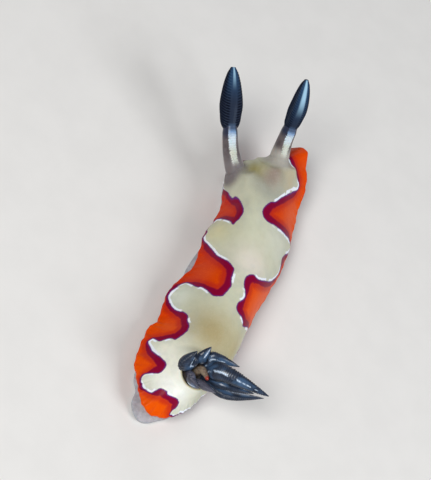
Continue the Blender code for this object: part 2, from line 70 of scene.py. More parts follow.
# The margin in rays from the back. A ray's place is 0 to 1 up the right side, 1 to 2 round the head,
# 2 to 3 down the left side and 3 to 4 round the rear. Each row holds the place, how far the mantle
# reaches, how high its rim is, how steeply it hangs in degrees, and how far the foot reaches.
MARGIN = [
    (0.00, 1.90, 1.00, 70, 1.50),
    (0.25, 2.35, 1.00, 80, 1.60),
    (0.50, 2.50, 1.10, 75, 1.70),
    (0.75, 3.65, 1.30, 55, 2.00),
    (1.00, 4.25, 1.70, 30, 2.10),
    (1.10, 4.60, 2.20, 20, 2.00),
    (1.18, 4.65, 2.85, 10, 1.85),
    (1.235, 5.00, 3.20, 8, 1.70),
    (1.30, 4.20, 2.65, 18, 1.50),
    (1.36, 2.60, 1.75, 55, 1.30),
    (1.42, 2.20, 1.55, 64, 1.20),
    (1.56, 2.00, 1.40, 66, 1.10),
    (1.70, 1.60, 1.25, 70, 1.05),
    (1.82, 1.35, 1.10, 74, 1.00),
    (2.00, 1.15, 0.90, 80, 0.90),
    (2.12, 1.35, 0.95, 75, 1.05),
    (2.27, 2.25, 1.05, 65, 1.85),
    (2.42, 2.45, 1.25, 50, 2.60),
    (2.55, 3.20, 1.15, 30, 2.50),
    (2.64, 3.25, 1.10, 28, 2.45),
    (2.74, 3.00, 1.15, 30, 2.35),
    (2.83, 3.20, 1.10, 28, 2.35),
    (3.02, 2.60, 1.00, 40, 2.15),
    (3.14, 2.22, 1.10, 40, 2.05),
    (3.26, 2.15, 1.20, 40, 1.95),
    (3.37, 2.30, 1.22, 40, 2.55),
    (3.50, 2.50, 1.22, 40, 2.85),
    (3.63, 2.25, 1.20, 45, 2.15),
    (3.80, 1.90, 1.15, 55, 1.75),
]

# The step that gives a line's way, and how many points are measured at a time
WAY_STEP = 0.01
CHUNK = 4000

# The back's curve along a ray, and the wall and foot below it
CROWN_SHARE = 0.6
CROWN_LEAN = 0.3
RIM_LEAD = 0.35
RIM_LEAD_LEAST = 0.6
UNDERSIDE_LEAD = 0.6
WALL_LEAD = 0.35
WALL_INSIDE_FOOT = 0.15
WALL_INSIDE_RIM = 0.85
PARTING_HEIGHT = 1.7
FOOT_TOP_HEIGHT = 1.4
FOOT_EDGE_HEIGHT = 0.32
FOOT_SIDE_DROP = 0.75
FOOT_SIDE_FLARE = 0.35
FOOT_EDGE_RISE = 0.15
SOLE_INSET = 0.22

# How finely the skin is divided: rays along each side, round the head and round the rear, and
# the rows of each stretch along a ray
SIDE_RAYS = 240
HEAD_RAYS = 150
REAR_RAYS = 90
TOP_ROWS = 60
RIM_ROWS = 8
UNDER_ROWS = 12
FOOT_ROWS = 26
LIP_ROWS = 4
SOLE_ROWS = 5
# The small waves round the rim, each by its number, its start and its height, and how wide they reach
RIPPLES = [(9, 1.3, 1.0), (16, 0.4, 0.7), (27, 2.1, 0.5)]
RIPPLE_WIDTH = 0.55

# The border between the cream back and the orange margin, as points on the back when it is laid
# out flat: how far to the right of the top line, and how far ahead of its rear end
BORDER = {
    "right of head": [
        (2.5, 18.1), (2.9, 17.8), (3.3, 17.5), (3.8, 17.4), (3.85, 17.0), (3.4, 16.5), (2.7, 15.85), (2.0, 15.2),
        (1.5, 14.7), (1.1, 14.5),
    ],
    "right of neck": [(0.75, 14.1), (0.5, 13.7), (0.5, 13.35), (0.65, 13.1), (1.0, 12.95)],
    "right shoulder": [
        (1.6, 13.0), (2.3, 13.05), (3.1, 13.15), (4.0, 13.3), (4.6, 13.2), (4.5, 12.7), (3.9, 12.3), (3.5, 11.8),
        (3.8, 11.4), (3.95, 11.0), (3.7, 10.6), (3.1, 9.95), (2.1, 9.3), (1.3, 8.85),
    ],
    "right of waist": [
        (0.85, 8.85), (0.55, 8.7), (0.3, 8.4), (0.25, 8.0), (0.4, 7.6), (0.6, 7.35), (0.7, 7.0), (0.55, 6.65),
        (0.4, 6.35), (0.45, 6.0), (0.7, 5.8), (1.2, 5.8), (1.5, 5.7), (1.7, 5.55), (2.1, 5.8), (2.7, 6.2),
        (3.2, 6.3),
    ],
    "right flank": [
        (3.35, 5.6), (3.4, 4.5), (3.4, 3.3), (3.35, 2.2), (3.15, 1.1), (2.95, 0.1), (2.6, -0.8), (2.15, -1.5),
        (1.75, -2.0), (1.4, -2.25),
    ],
    "rear notch": [
        (1.3, -1.95), (1.35, -1.6), (1.2, -1.3), (0.9, -1.25), (0.6, -1.3), (0.4, -1.4), (0.1, -1.5), (-0.05, -1.4),
        (-0.3, -1.4), (-0.55, -1.5), (-0.7, -1.75),
    ],
    "left of tail": [
        (-0.8, -2.0), (-1.05, -2.1), (-1.4, -2.05), (-1.85, -1.85), (-2.1, -1.55), (-2.15, -1.15), (-1.8, -0.95),
        (-1.3, -0.75),
    ],
    "third notch": [(-1.1, -0.5), (-1.1, -0.2), (-1.2, 0.05), (-1.6, 0.25), (-2.05, 0.4)],
    "rear left lobe": [
        (-2.6, 0.6), (-3.0, 0.85), (-3.35, 1.15), (-3.3, 1.45), (-3.0, 1.4), (-2.65, 1.35), (-2.4, 1.55),
        (-2.1, 1.75),
    ],
    "second notch": [
        (-1.8, 1.75), (-1.65, 2.1), (-1.55, 2.4), (-1.5, 2.8), (-1.65, 3.3), (-1.95, 3.65), (-2.05, 3.95),
        (-2.3, 4.2), (-2.6, 4.35),
    ],
    "middle left lobe": [
        (-3.0, 4.4), (-3.45, 4.6), (-3.9, 5.0), (-4.15, 5.4), (-4.15, 5.9), (-4.0, 6.4), (-3.8, 6.8), (-3.5, 7.0),
        (-3.15, 6.85), (-2.8, 6.65), (-2.45, 6.5), (-2.2, 6.5), (-1.8, 6.3), (-1.5, 6.1),
    ],
    "left of waist": [
        (-1.2, 5.95), (-0.9, 6.05), (-0.65, 6.2), (-0.55, 6.5), (-0.45, 6.85), (-0.4, 7.2), (-0.5, 7.55),
        (-0.55, 8.0), (-0.55, 8.35), (-0.6, 8.55), (-0.85, 8.8), (-1.1, 9.0),
    ],
    "left shoulder": [
        (-1.45, 9.2), (-1.8, 9.4), (-2.15, 9.7), (-2.6, 10.25), (-3.05, 10.7), (-3.4, 11.1), (-3.55, 11.5),
        (-3.45, 11.95), (-3.5, 12.4), (-3.45, 12.9), (-3.25, 13.25), (-2.9, 13.3), (-2.3, 12.9), (-1.8, 12.55),
        (-1.6, 12.35), (-1.45, 12.1), (-1.3, 12.1), (-1.2, 12.35),
    ],
    "left of neck": [
        (-1.05, 12.5), (-0.9, 12.8), (-0.8, 13.15), (-0.85, 13.55), (-1.0, 13.95), (-1.2, 14.3), (-1.5, 14.5),
        (-1.85, 14.6),
    ],
    "left of head": [(-2.15, 14.85), (-2.4, 15.3), (-2.75, 15.8), (-3.0, 16.4), (-3.1, 17.0), (-3.1, 17.6)],
    "front of head": [
        (-2.7, 18.1), (-2.1, 18.5), (-1.5, 18.7), (-1.1, 18.45), (-0.7, 18.4), (-0.3, 18.7), (0.2, 19.0),
        (0.8, 18.95), (1.3, 18.8), (2.0, 18.6),
    ],
}
BORDER_STEP = 0.06
NOTCH_SPAN = 0.8
NOTCH_DEPTH = 0.16
# The white line leaves off beside the left feeler, where the border draws back
LINE_GAP = (-1.95, 14.9)
LINE_GAP_SIZE = 1.0
BORDER_RETREAT = 1.3

# Soft tints of the back, partly its own tones and partly painted light and shade: centre to the right and ahead, size
# across and along, colour, strength
BACK_TONES_AND_LIGHT = [
    ((0.4, 16.0), (2.6, 1.7), (0.37, 0.36, 0.27), 0.85),
    ((-0.2, 16.5), (0.7, 0.8), (0.33, 0.29, 0.10), 0.85),
    ((2.7, 16.4), (0.7, 0.8), (0.53, 0.44, 0.28), 0.75),
    ((1.10, 16.0), (0.80, 0.62), (0.27, 0.20, 0.17), 0.90),
    ((0.8, 15.2), (1.6, 0.6), (0.38, 0.39, 0.34), 0.60),
    ((-2.5, 11.9), (1.3, 1.3), (0.66, 0.62, 0.37), 0.80),
    ((2.4, 12.1), (1.5, 1.2), (0.68, 0.69, 0.58), 0.80),
    ((0.4, 9.5), (1.5, 1.2), (0.75, 0.69, 0.61), 0.85),
    ((-3.5, 5.6), (0.9, 1.0), (0.68, 0.73, 0.64), 0.80),
    ((-0.2, 3.5), (1.9, 1.7), (0.39, 0.31, 0.145), 0.90),
    ((2.1, 3.8), (1.0, 1.6), (0.47, 0.39, 0.19), 0.75),
    # The next two are painted light: the bright near-white over the tail beside the gills, where the light falls
    # strongest
    ((-1.7, 0.4), (1.5, 1.6), (0.95, 0.95, 0.82), 0.95),
    ((0.1, -1.0), (2.0, 1.1), (0.96, 0.98, 0.92), 0.92),
]

# The line of each feeler from its root on the head to its tip
FEELERS = {
    "left": [
        (-2.45, 7.80, 2.60), (-3.50, 8.65, 3.20), (-4.40, 9.65, 4.00), (-5.30, 10.95, 4.90),
        (-6.30, 12.40, 5.90),
    ],
    "right": [
        (-0.35, 9.95, 3.50), (-0.70, 10.65, 4.40), (-1.00, 11.25, 5.45), (-1.42, 12.02, 6.80),
        (-2.05, 12.82, 8.30),
    ],
}
FEELER_BACK = (0.3, -0.7, 0.65)
# Where the pale streak at each tip lies along the feeler, and how near to its back line
TIP_STREAKS = {"left": (0.80, 1.0), "right": (0.62, 0.86)}
TIP_STREAK_SIDES = {"left": (0.965, 1.0), "right": (0.92, 0.995)}
# How far from each root its colour fades out, where the fade is centred, and that colour
ROOT_FADES = {"left": 1.55, "right": 1.30}
ROOT_SHIFTS = {"left": (-0.30, -0.15, -0.20), "right": (0.0, 0.0, 0.0)}
FEELER_ROOT_COLOURS = {"left": (0.18, 0.160, 0.165), "right": (0.40, 0.38, 0.34)}
ROOT_FULL = 0.80
# The collar of skin at each root, and the shares of the way where the stalk ends and the club starts
COLLAR_TOP = 0.08
COLLAR_FILLET = 0.75
COLLAR_SOFTNESS = 0.16
COLLAR_REACH = (2.1, 1.2)
COLLAR_DEPTH = (-2.4, -1.4)
STALK_END = 0.455
CLUB_START = 0.485
STALK_TOP = CLUB_START + 0.02
STALK_SLACK = 0.04
STALK_RADIUS = 0.55
STALK_ROOT_RADIUS = 0.68
CLUB_RADIUS = {"left": 0.80, "right": 0.66}
CLUB_DEPTH = 0.72
CLUB_PROFILE = [(0.0, 0.66), (0.10, 0.84), (0.22, 0.92), (0.42, 1.0), (0.7, 0.80), (0.9, 0.50), (1.0, 0.20)]
STALK_SIDES = 56
STALK_RINGS = 90
CLUB_SIDES = 64
RINGS_PER_PLATE = 11

# The ring of gills: its centre on the back, and the way its pocket faces
GILL_CENTRE = (0.30, -7.40, 2.88)
GILL_AXIS = (0.22, -0.22, 1.0)
# The pocket round the gills: from its middle outwards, and the height there over the ring's plane
POCKET_PROFILE = [
    (0.0, -0.10), (0.80, -0.10), (0.93, 0.10), (1.02, 0.27), (1.10, 0.31), (1.20, 0.24), (1.34, 0.06), (1.60, -0.20),
]
POCKET_REACH = (1.75, 1.22)
POCKET_SLOPE = (1.3, 0.4)
GILL_RING_RADIUS = 0.57
# Each gill branch: the angle of its root round the ring, clockwise from the head, in degrees, then
# its middle and its tip as right, forward and up from the ring's centre, and its greatest width
GILL_BRANCHES = [
    (-60, (-0.95, -0.25, 1.00), (-0.85, 0.15, 1.85), 1.20),
    (-12, (-0.25, 0.40, 1.30), (-0.15, 0.95, 1.85), 0.75),
    (24, (0.45, 0.70, 1.40), (2.05, 1.00, 1.55), 0.75),
    (56, (1.30, -0.20, 1.90), (4.15, -0.30, 2.45), 1.05),
    (92, (1.75, -0.40, 1.25), (3.50, -0.15, 1.60), 0.75),
    (130, (2.35, -0.60, 0.75), (4.30, 0.15, 1.30), 0.80),
    (175, (0.85, -0.90, 0.60), (1.45, -1.15, 1.05), 0.70),
    (225, (-0.05, -0.95, 0.45), (0.40, -1.45, 0.95), 0.80),
]
GILL_BEND = 0.4
GILL_RISE = 0.25
KEEL_DROP = 0.7
GILL_DEPTH = 0.62
GILL_SIDES = 28
RINGS_PER_LEAFLET = 6
LEAFLET_LENGTHS = (0.95, 1.04)
# Branches rooted further round than this are the small pale ones at the rear
PALE_ANGLE = 150
GILL_PROFILE = [(0, 0.42), (0.2, 0.72), (0.5, 1.0), (0.75, 0.80), (0.9, 0.42), (1.0, 0.05)]

# The anal papilla's line from the ring's centre, and its radius from root to tip
PAPILLA = ((0.05, 0.12, -0.15), (0.25, 0.12, 0.40), (0.48, -0.20, 0.72), (0.74, -0.56, 0.86))
PAPILLA_PROFILE = [(0, 0.31), (0.3, 0.28), (0.6, 0.20), (0.85, 0.14), (0.96, 0.10), (1.0, 0.02)]

# The snout below the front of the mantle, its tentacles' radius from root to tip, and the lips
SNOUT_AHEAD = 1.74
SNOUT_ASIDE = 0.25
SNOUT_HEIGHT = 0.62
SNOUT_SIZE = (0.65, 0.50, 0.40)
TENTACLE_PROFILE = [(0, 0.26), (0.4, 0.21), (0.75, 0.16), (0.93, 0.11), (1.0, 0.04)]
LIP_WIDTH, LIP_HEIGHT, LIP_RADIUS, LIP_BEND = 0.20, 0.10, 0.065, 0.10
LIP_SIDES = (48, 14)

# Tones of the flesh beside the colours that the settings hold. The redder orange, the pocket's floor and the
# leaflets' grooves are painted shade, and the blue sheen on the clubs and the gills is a painted sheen
TONES = {
    "cream cloud": (0.88, 0.88, 0.86), "cream fleck": (0.80, 0.80, 0.72), "marbling": (0.38, 0.42, 0.42),
    "red orange": (0.58, 0.028, 0.0), "warm orange": (0.84, 0.105, 0.0), "deep orange": (0.64, 0.040, 0.0),
    "bright orange": (0.92, 0.15, 0.002), "red edge": (0.50, 0.018, 0.010),
    "pocket slope": (0.62, 0.57, 0.37), "pocket floor": (0.075, 0.060, 0.062), "foot fleck": (0.55, 0.55, 0.57),
    "stalk side": (0.105, 0.088, 0.096), "streak foot": (0.60, 0.64, 0.56), "streak blue": (0.20, 0.34, 0.58),
    "plate edge": (0.030, 0.042, 0.072), "club cloud": (0.014, 0.017, 0.032), "club glow": (0.030, 0.085, 0.190),
    "pale gill": (0.11, 0.105, 0.14), "leaflet edge": (0.05, 0.075, 0.13), "leaflet groove": (0.004, 0.005, 0.010),
    "gill sheen": (0.08, 0.17, 0.32), "papilla tan": (0.36, 0.28, 0.20), "papilla brown": (0.16, 0.12, 0.10),
}

# The studio lights: place and size in metres, power and colour
LIGHTS = {
    "key": ((-0.09, -0.11, 0.15), 0.09, 0.29, (1.0, 0.985, 0.96)),
    "fill": ((0.15, -0.04, 0.13), 0.11, 0.22, (0.97, 0.985, 1.0)),
    "rim": ((0.0, 0.17, 0.09), 0.07, 0.03, (1.0, 1.0, 1.0)),
}
LIGHT_AIM = (0.0, 0.0, 0.002)

# The camera's turn round the slug, its height and its tilt in degrees, the height of the point it
# looks at, and where that point lies in the image
AZIMUTH, ELEVATION, TILT = -20, 52, 23.6
AIM_HEIGHT = 1.8
AIM_PIXEL = (222, 285)
IMAGE_SIZE = (431, 480)


class SkinSettings(bpy.types.PropertyGroup):
    rim_thickness: FloatProperty(
        name="Rim thickness", description="Thickness of the mantle's rim in millimetres", default=0.5, min=0.2
    )
    ripple: FloatProperty(
        name="Ripple", description="Height of the rim's small waves in millimetres", default=0.045, min=0.0
    )
    cream: FloatVectorProperty(
        name="Cream", description="Colour of the back", subtype="COLOR", default=(0.60, 0.61, 0.46)
    )
    orange: FloatVectorProperty(
        name="Orange", description="Colour of the margin", subtype="COLOR", default=(0.80, 0.080, 0.0)
    )
    maroon: FloatVectorProperty(
        name="Maroon", description="Colour of the band inside the margin", subtype="COLOR",
        default=(0.23, 0.000, 0.030)
    )
    violet: FloatVectorProperty(
        name="Violet", description="Colour of the thin fringe at the border", subtype="COLOR",
        default=(0.10, 0.025, 0.22)
    )
    white: FloatVectorProperty(
        name="White", description="Colour of the broken line", subtype="COLOR", default=(0.86, 0.90, 0.98)
    )
    foot: FloatVectorProperty(
        name="Foot", description="Colour of the foot", subtype="COLOR", default=(0.34, 0.35, 0.385)
    )


class FeelerSettings(bpy.types.PropertyGroup):
    plates: IntProperty(name="Plates", description="Slanted plates on each club", default=22, min=6, max=60)
    plate_depth: FloatProperty(
        name="Plate depth", description="Depth of the grooves as a share of the radius", default=0.17, min=0.0
    )
    plate_slant: FloatProperty(
        name="Plate slant", description="How far the plates rise towards the front", default=1.5
    )
    stalk: FloatVectorProperty(
        name="Stalk", description="Colour of the stalks", subtype="COLOR", default=(0.085, 0.070, 0.074)
    )
    club: FloatVectorProperty(
        name="Club", description="Colour of the clubs", subtype="COLOR", default=(0.008, 0.013, 0.034)
    )
    streak: FloatVectorProperty(
        name="Streak", description="Colour of the pale streak", subtype="COLOR", default=(0.62, 0.74, 0.82)
    )


class GillSettings(bpy.types.PropertyGroup):
    spacing: FloatProperty(
        name="Leaflet spacing", description="From one leaflet to the next in millimetres", default=0.10, min=0.05
    )
    leaflet_depth: FloatProperty(
        name="Leaflet depth", description="Depth between leaflets as a share of the branch", default=0.28, min=0.0
    )
    slant: FloatProperty(name="Slant", description="How far the leaflets lean towards the tip", default=0.9)
    fullness: FloatProperty(name="Fullness", description="How far the branches fill out", default=1.16, min=0.5)
    flesh: FloatVectorProperty(
        name="Flesh", description="Colour of the gills", subtype="COLOR", default=(0.010, 0.015, 0.028)
    )
    # The pale streaks are partly white pigment and partly a painted highlight
    streak: FloatVectorProperty(
        name="Streak", description="Colour of the pale streaks", subtype="COLOR", default=(0.55, 0.68, 0.85)
    )
    papilla: FloatVectorProperty(
        name="Papilla", description="Colour of the papilla's rim", subtype="COLOR", default=(0.36, 0.045, 0.03)
    )


class StageSettings(bpy.types.PropertyGroup):
    floor: FloatVectorProperty(
        name="Floor", description="Colour of the floor", subtype="COLOR", default=(0.80, 0.79, 0.77)
    )
    distance: FloatProperty(
        name="Camera distance", description="From the camera to the slug", default=0.100, unit="LENGTH"
    )
    lens: FloatProperty(name="Lens", description="Focal length in millimetres", default=117.75)


class SeaSlugSettings(bpy.types.PropertyGroup):
    skin: PointerProperty(type=SkinSettings, name="Skin", description="The skin's sizes and colours")
    feelers: PointerProperty(type=FeelerSettings, name="Feelers", description="The feelers' sizes and colours")
    gills: PointerProperty(type=GillSettings, name="Gills", description="The gills' sizes and colours")
    stage: PointerProperty(type=StageSettings, name="Stage", description="The floor and the camera")


def smooth_rows(table, places, period=None):
    """The values at each place along a table of rows, on a smooth curve through them all."""
    places = np.atleast_1d(np.asarray(places, float))
    rows = np.array(table, float)
    if period:
        places = (places - rows[0, 0]) % period + rows[0, 0]
        first = rows[-1].copy()
        first[0] -= period
        last = rows[:2].copy()
        last[:, 0] += period
        rows = np.vstack([first, rows, last])
    else:
        places = np.clip(places, rows[0, 0], rows[-1, 0])
        rows = np.vstack([2 * rows[0] - rows[1], rows, 2 * rows[-1] - rows[-2]])
    i = np.clip(np.searchsorted(rows[:, 0], places) - 1, 1, len(rows) - 3)
    r0, r1, r2, r3 = rows[i - 1], rows[i], rows[i + 1], rows[i + 2]
    step = (r2[:, 0] - r1[:, 0])[:, None]
    u = (places - r1[:, 0])[:, None] / step
    start = (r2 - r0) / (r2[:, :1] - r0[:, :1]) * step
    end = (r3 - r1) / (r3[:, :1] - r1[:, :1]) * step
    found = r1 * (2 * u**3 - 3 * u**2 + 1) + start * (u**3 - 2 * u**2 + u)
    found += r2 * (3 * u**2 - 2 * u**3) + end * (u**3 - u**2)
    return found[:, 1:]


def curve_points(points, shares):
    """Points on a smooth curve through the points given, at shares from 0 to 1."""
    table = np.column_stack([np.linspace(0, 1, len(points)), points])
    return smooth_rows(table, shares)


def unit(vectors):
    """The same ways, each of length one."""
    return vectors / np.maximum(np.linalg.norm(vectors, axis=-1, keepdims=True), 1e-12)


def curve_ways(points, shares):
    """Which way the same curve runs at each share."""
    shares = np.asarray(shares, float)
    ahead = curve_points(points, np.minimum(shares + WAY_STEP, 1))
    return unit(ahead - curve_points(points, np.maximum(shares - WAY_STEP, 0)))


def smooth_step(low, high, values):
    """Rises smoothly from 0 to 1 as the values go from low to high."""
    share = np.clip((values - low) / (high - low), 0, 1)
    return share * share * (3 - 2 * share)


def bezier(controls, shares):
    """Points on one curve for each row of controls, at the shares given."""
    a, b, c, d = (control[:, None, :] for control in controls)
    t = shares[None, :, None]
    rest = 1 - t
    return a * rest**3 + 3 * b * rest**2 * t + 3 * c * rest * t**2 + d * t**3


def heading(shares):
    """Which way the back runs at each share of its length, and how steeply it climbs there."""
    ahead, behind = np.minimum(shares + WAY_STEP, 1), np.maximum(shares - WAY_STEP, 0)
    step = smooth_rows(BACK, ahead) - smooth_rows(BACK, behind)
    length = np.linalg.norm(step[:, :2], axis=1)
    return step[:, :2] / length[:, None], step[:, 2] / length


def shares_and_turns(places):
    """How far along the back each ray starts, and how far it turns from straight ahead."""
    p = places % 4
    cases = [p <= 1, p <= 2, p <= 3]
    shares = np.select(cases, [p, 1.0, 3 - p], 0.0)
    turns = np.select(cases, [-90, 180 * (p - 1) - 90, 90], 180 * (p - 3) + 90)
    return shares, np.radians(turns)


def rays(places):
    """Where each ray starts, at what height, which way it runs, and the rise of the back along it."""
    shares, turns = shares_and_turns(places)
    start = smooth_rows(BACK, shares)
    ahead, rise = heading(shares)
    way = np.stack([
        ahead[:, 0] * np.cos(turns) - ahead[:, 1] * np.sin(turns),
        ahead[:, 0] * np.sin(turns) + ahead[:, 1] * np.cos(turns),
    ], -1)
    return start[:, :2], start[:, 2], way, rise * np.sum(way * ahead, axis=1)


def at_height(out, height):
    """Points of a ray's section at one height."""
    return np.stack([out, np.full_like(out, height)], -1)


def ray_sections(places, rim):
    """Points (distance out, height) down every ray, from the top of the back to the sole's middle."""
    _, height, _, rise = rays(places)
    reach, rim_height, steepness, foot = smooth_rows(MARGIN, places, 4).T
    angle = np.radians(steepness)
    outward = np.stack([np.cos(angle), -np.sin(angle)], -1)
    inward = np.stack([outward[:, 1], -outward[:, 0]], -1)
    tip = np.stack([reach, rim_height], -1)
    lead = RIM_LEAD * (height - rim_height + RIM_LEAD_LEAST)
    crown = np.stack([CROWN_SHARE * reach, height + CROWN_LEAN * rise * reach], -1)
    top = np.stack([0 * height, height], -1)
    back = bezier([top, crown, tip - lead[:, None] * outward, tip], np.linspace(0, 1, TOP_ROWS + 1))
    turn = np.pi * np.arange(1, RIM_ROWS) / RIM_ROWS
    middle = tip + inward * rim / 2
    round_rim = middle[:, None] + rim / 2 * (
        UNDERSIDE_LEAD * np.sin(turn)[None, :, None] * outward[:, None]
        - np.cos(turn)[None, :, None] * inward[:, None]
    )
    under = tip + inward * rim
    wall_out = np.minimum(foot - WALL_INSIDE_FOOT, reach - WALL_INSIDE_RIM)
    wall = at_height(wall_out, PARTING_HEIGHT)
    controls = [under, under - UNDERSIDE_LEAD * outward, wall + (WALL_LEAD, 0), wall]
    underside = bezier(controls, np.linspace(0, 1, UNDER_ROWS + 1))
    foot_top = at_height(wall_out, FOOT_TOP_HEIGHT)
    edge = at_height(foot, FOOT_EDGE_HEIGHT)
    flare = FOOT_SIDE_FLARE * (wall_out - foot - rim / 2)
    lead_in = edge + at_height(flare, FOOT_EDGE_RISE)
    side = bezier([foot_top, foot_top - (0, FOOT_SIDE_DROP), lead_in, edge], np.linspace(0, 1, FOOT_ROWS + 1))
    corner = edge * (1, 0)
    sole_edge = corner - (SOLE_INSET, 0)
    lip = bezier([edge, (edge + 2 * corner) / 3, (sole_edge + 2 * corner) / 3, sole_edge],
                 np.arange(1, LIP_ROWS + 1) / LIP_ROWS)
    sole = sole_edge[:, None] * (1 - np.arange(1, SOLE_ROWS + 1) / SOLE_ROWS)[None, :, None]
    return np.concatenate([back, round_rim, underside, side, lip, sole], 1)


def laid_out(places, section):
    """Where each point of the back lies when it is laid out flat: to the right, and ahead."""
    shares, turns = shares_and_turns(places)
    table = np.linspace(0, 1, 401)
    steps = np.linalg.norm(np.diff(smooth_rows(BACK, table), axis=0), axis=1)
    along = np.interp(shares, table, np.concatenate([[0], np.cumsum(steps)]))
    steps = np.linalg.norm(np.diff(section, axis=1), axis=2)
    out = np.concatenate([np.zeros((len(section), 1)), np.cumsum(steps, axis=1)], 1)
    right = -np.sin(turns)[:, None] * out
    ahead = along[:, None] + np.cos(turns)[:, None] * out
    return np.stack([right, ahead], -1), out


def border_line():
    """The border as evenly spaced points, with how deep a notch each is in."""
    points = np.array([point for part in BORDER.values() for point in part])
    count = len(points)
    table = np.column_stack([np.arange(count), points])
    fine = smooth_rows(table, np.arange(0, count, 0.05), count)
    steps = np.linalg.norm(np.roll(fine, -1, axis=0) - fine, axis=1)
    along = np.concatenate([[0], np.cumsum(steps)])
    total = along[-1]
    number = int(total / BORDER_STEP)
    wanted = np.arange(number) * total / number
    closed = np.vstack([fine, fine[:1]])
    line = np.column_stack([np.interp(wanted, along, closed[:, k]) for k in (0, 1)])
    way = unit(np.roll(line, -1, axis=0) - np.roll(line, 1, axis=0))
    outward = np.stack([-way[:, 1], way[:, 0]], -1)
    span = int(NOTCH_SPAN / BORDER_STEP)
    near = sum(np.roll(line, k, axis=0) + np.roll(line, -k, axis=0) for k in range(1, span + 1)) / (2 * span)
    notch = np.sum((near - line) * outward, axis=1) / NOTCH_DEPTH
    return line, np.clip(notch, -1, 1)


def distances_to_border(points):
    """Signed distance to the border, above zero in the orange, and how far into a notch it is."""
    line, notch = border_line()
    step = np.roll(line, -1, axis=0) - line
    length = np.sum(step * step, axis=1)
    distance = np.empty(len(points))
    depth = np.empty(len(points))
    for first in range(0, len(points), CHUNK):
        part = points[first:first + CHUNK]
        offset = part[:, None] - line[None]
        share = np.clip(np.sum(offset * step, axis=2) / length, 0, 1)
        gap = offset - share[..., None] * step
        squared = np.sum(gap * gap, axis=2)
        nearest = squared.argmin(axis=1)
        rows = np.arange(len(part))
        distance[first:first + CHUNK] = np.sqrt(squared[rows, nearest])
        weight = 1 / (squared + 0.01)**2
        depth[first:first + CHUNK] = (weight * notch).sum(axis=1) / weight.sum(axis=1)
    return np.where(inside(points, line), -distance, distance), depth


def inside(points, line):
    """Which points lie inside a closed line."""
    found = np.zeros(len(points), bool)
    x, y = points.T
    for (x0, y0), (x1, y1) in zip(line, np.roll(line, -1, axis=0)):
        crosses = (y0 > y) != (y1 > y)
        if y0 != y1:
            found ^= crosses & (x < (x1 - x0) * (y - y0) / (y1 - y0) + x0)
    return found


def new_piece(name, verts, faces, material, values, slot, *nodes):
    """A mesh from points in millimetres, with named values kept on them. It takes the place of the nodes."""
    mesh = bpy.data.meshes.new(name)
    mesh.from_pydata((np.asarray(verts) * MM).tolist(), [], faces)
    for key, numbers in values.items():
        mesh.attributes.new(key, "FLOAT", "POINT").data.foreach_set("value", np.asarray(numbers, np.float32))
    mesh.materials.append(material)
    mesh.shade_smooth()
    mesh.update()
    made = bpy.data.objects.new(name, mesh)
    bpy.context.scene.collection.objects.link(made)
    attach(made, BODY)
    if nodes:
        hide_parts(*nodes)
    return made


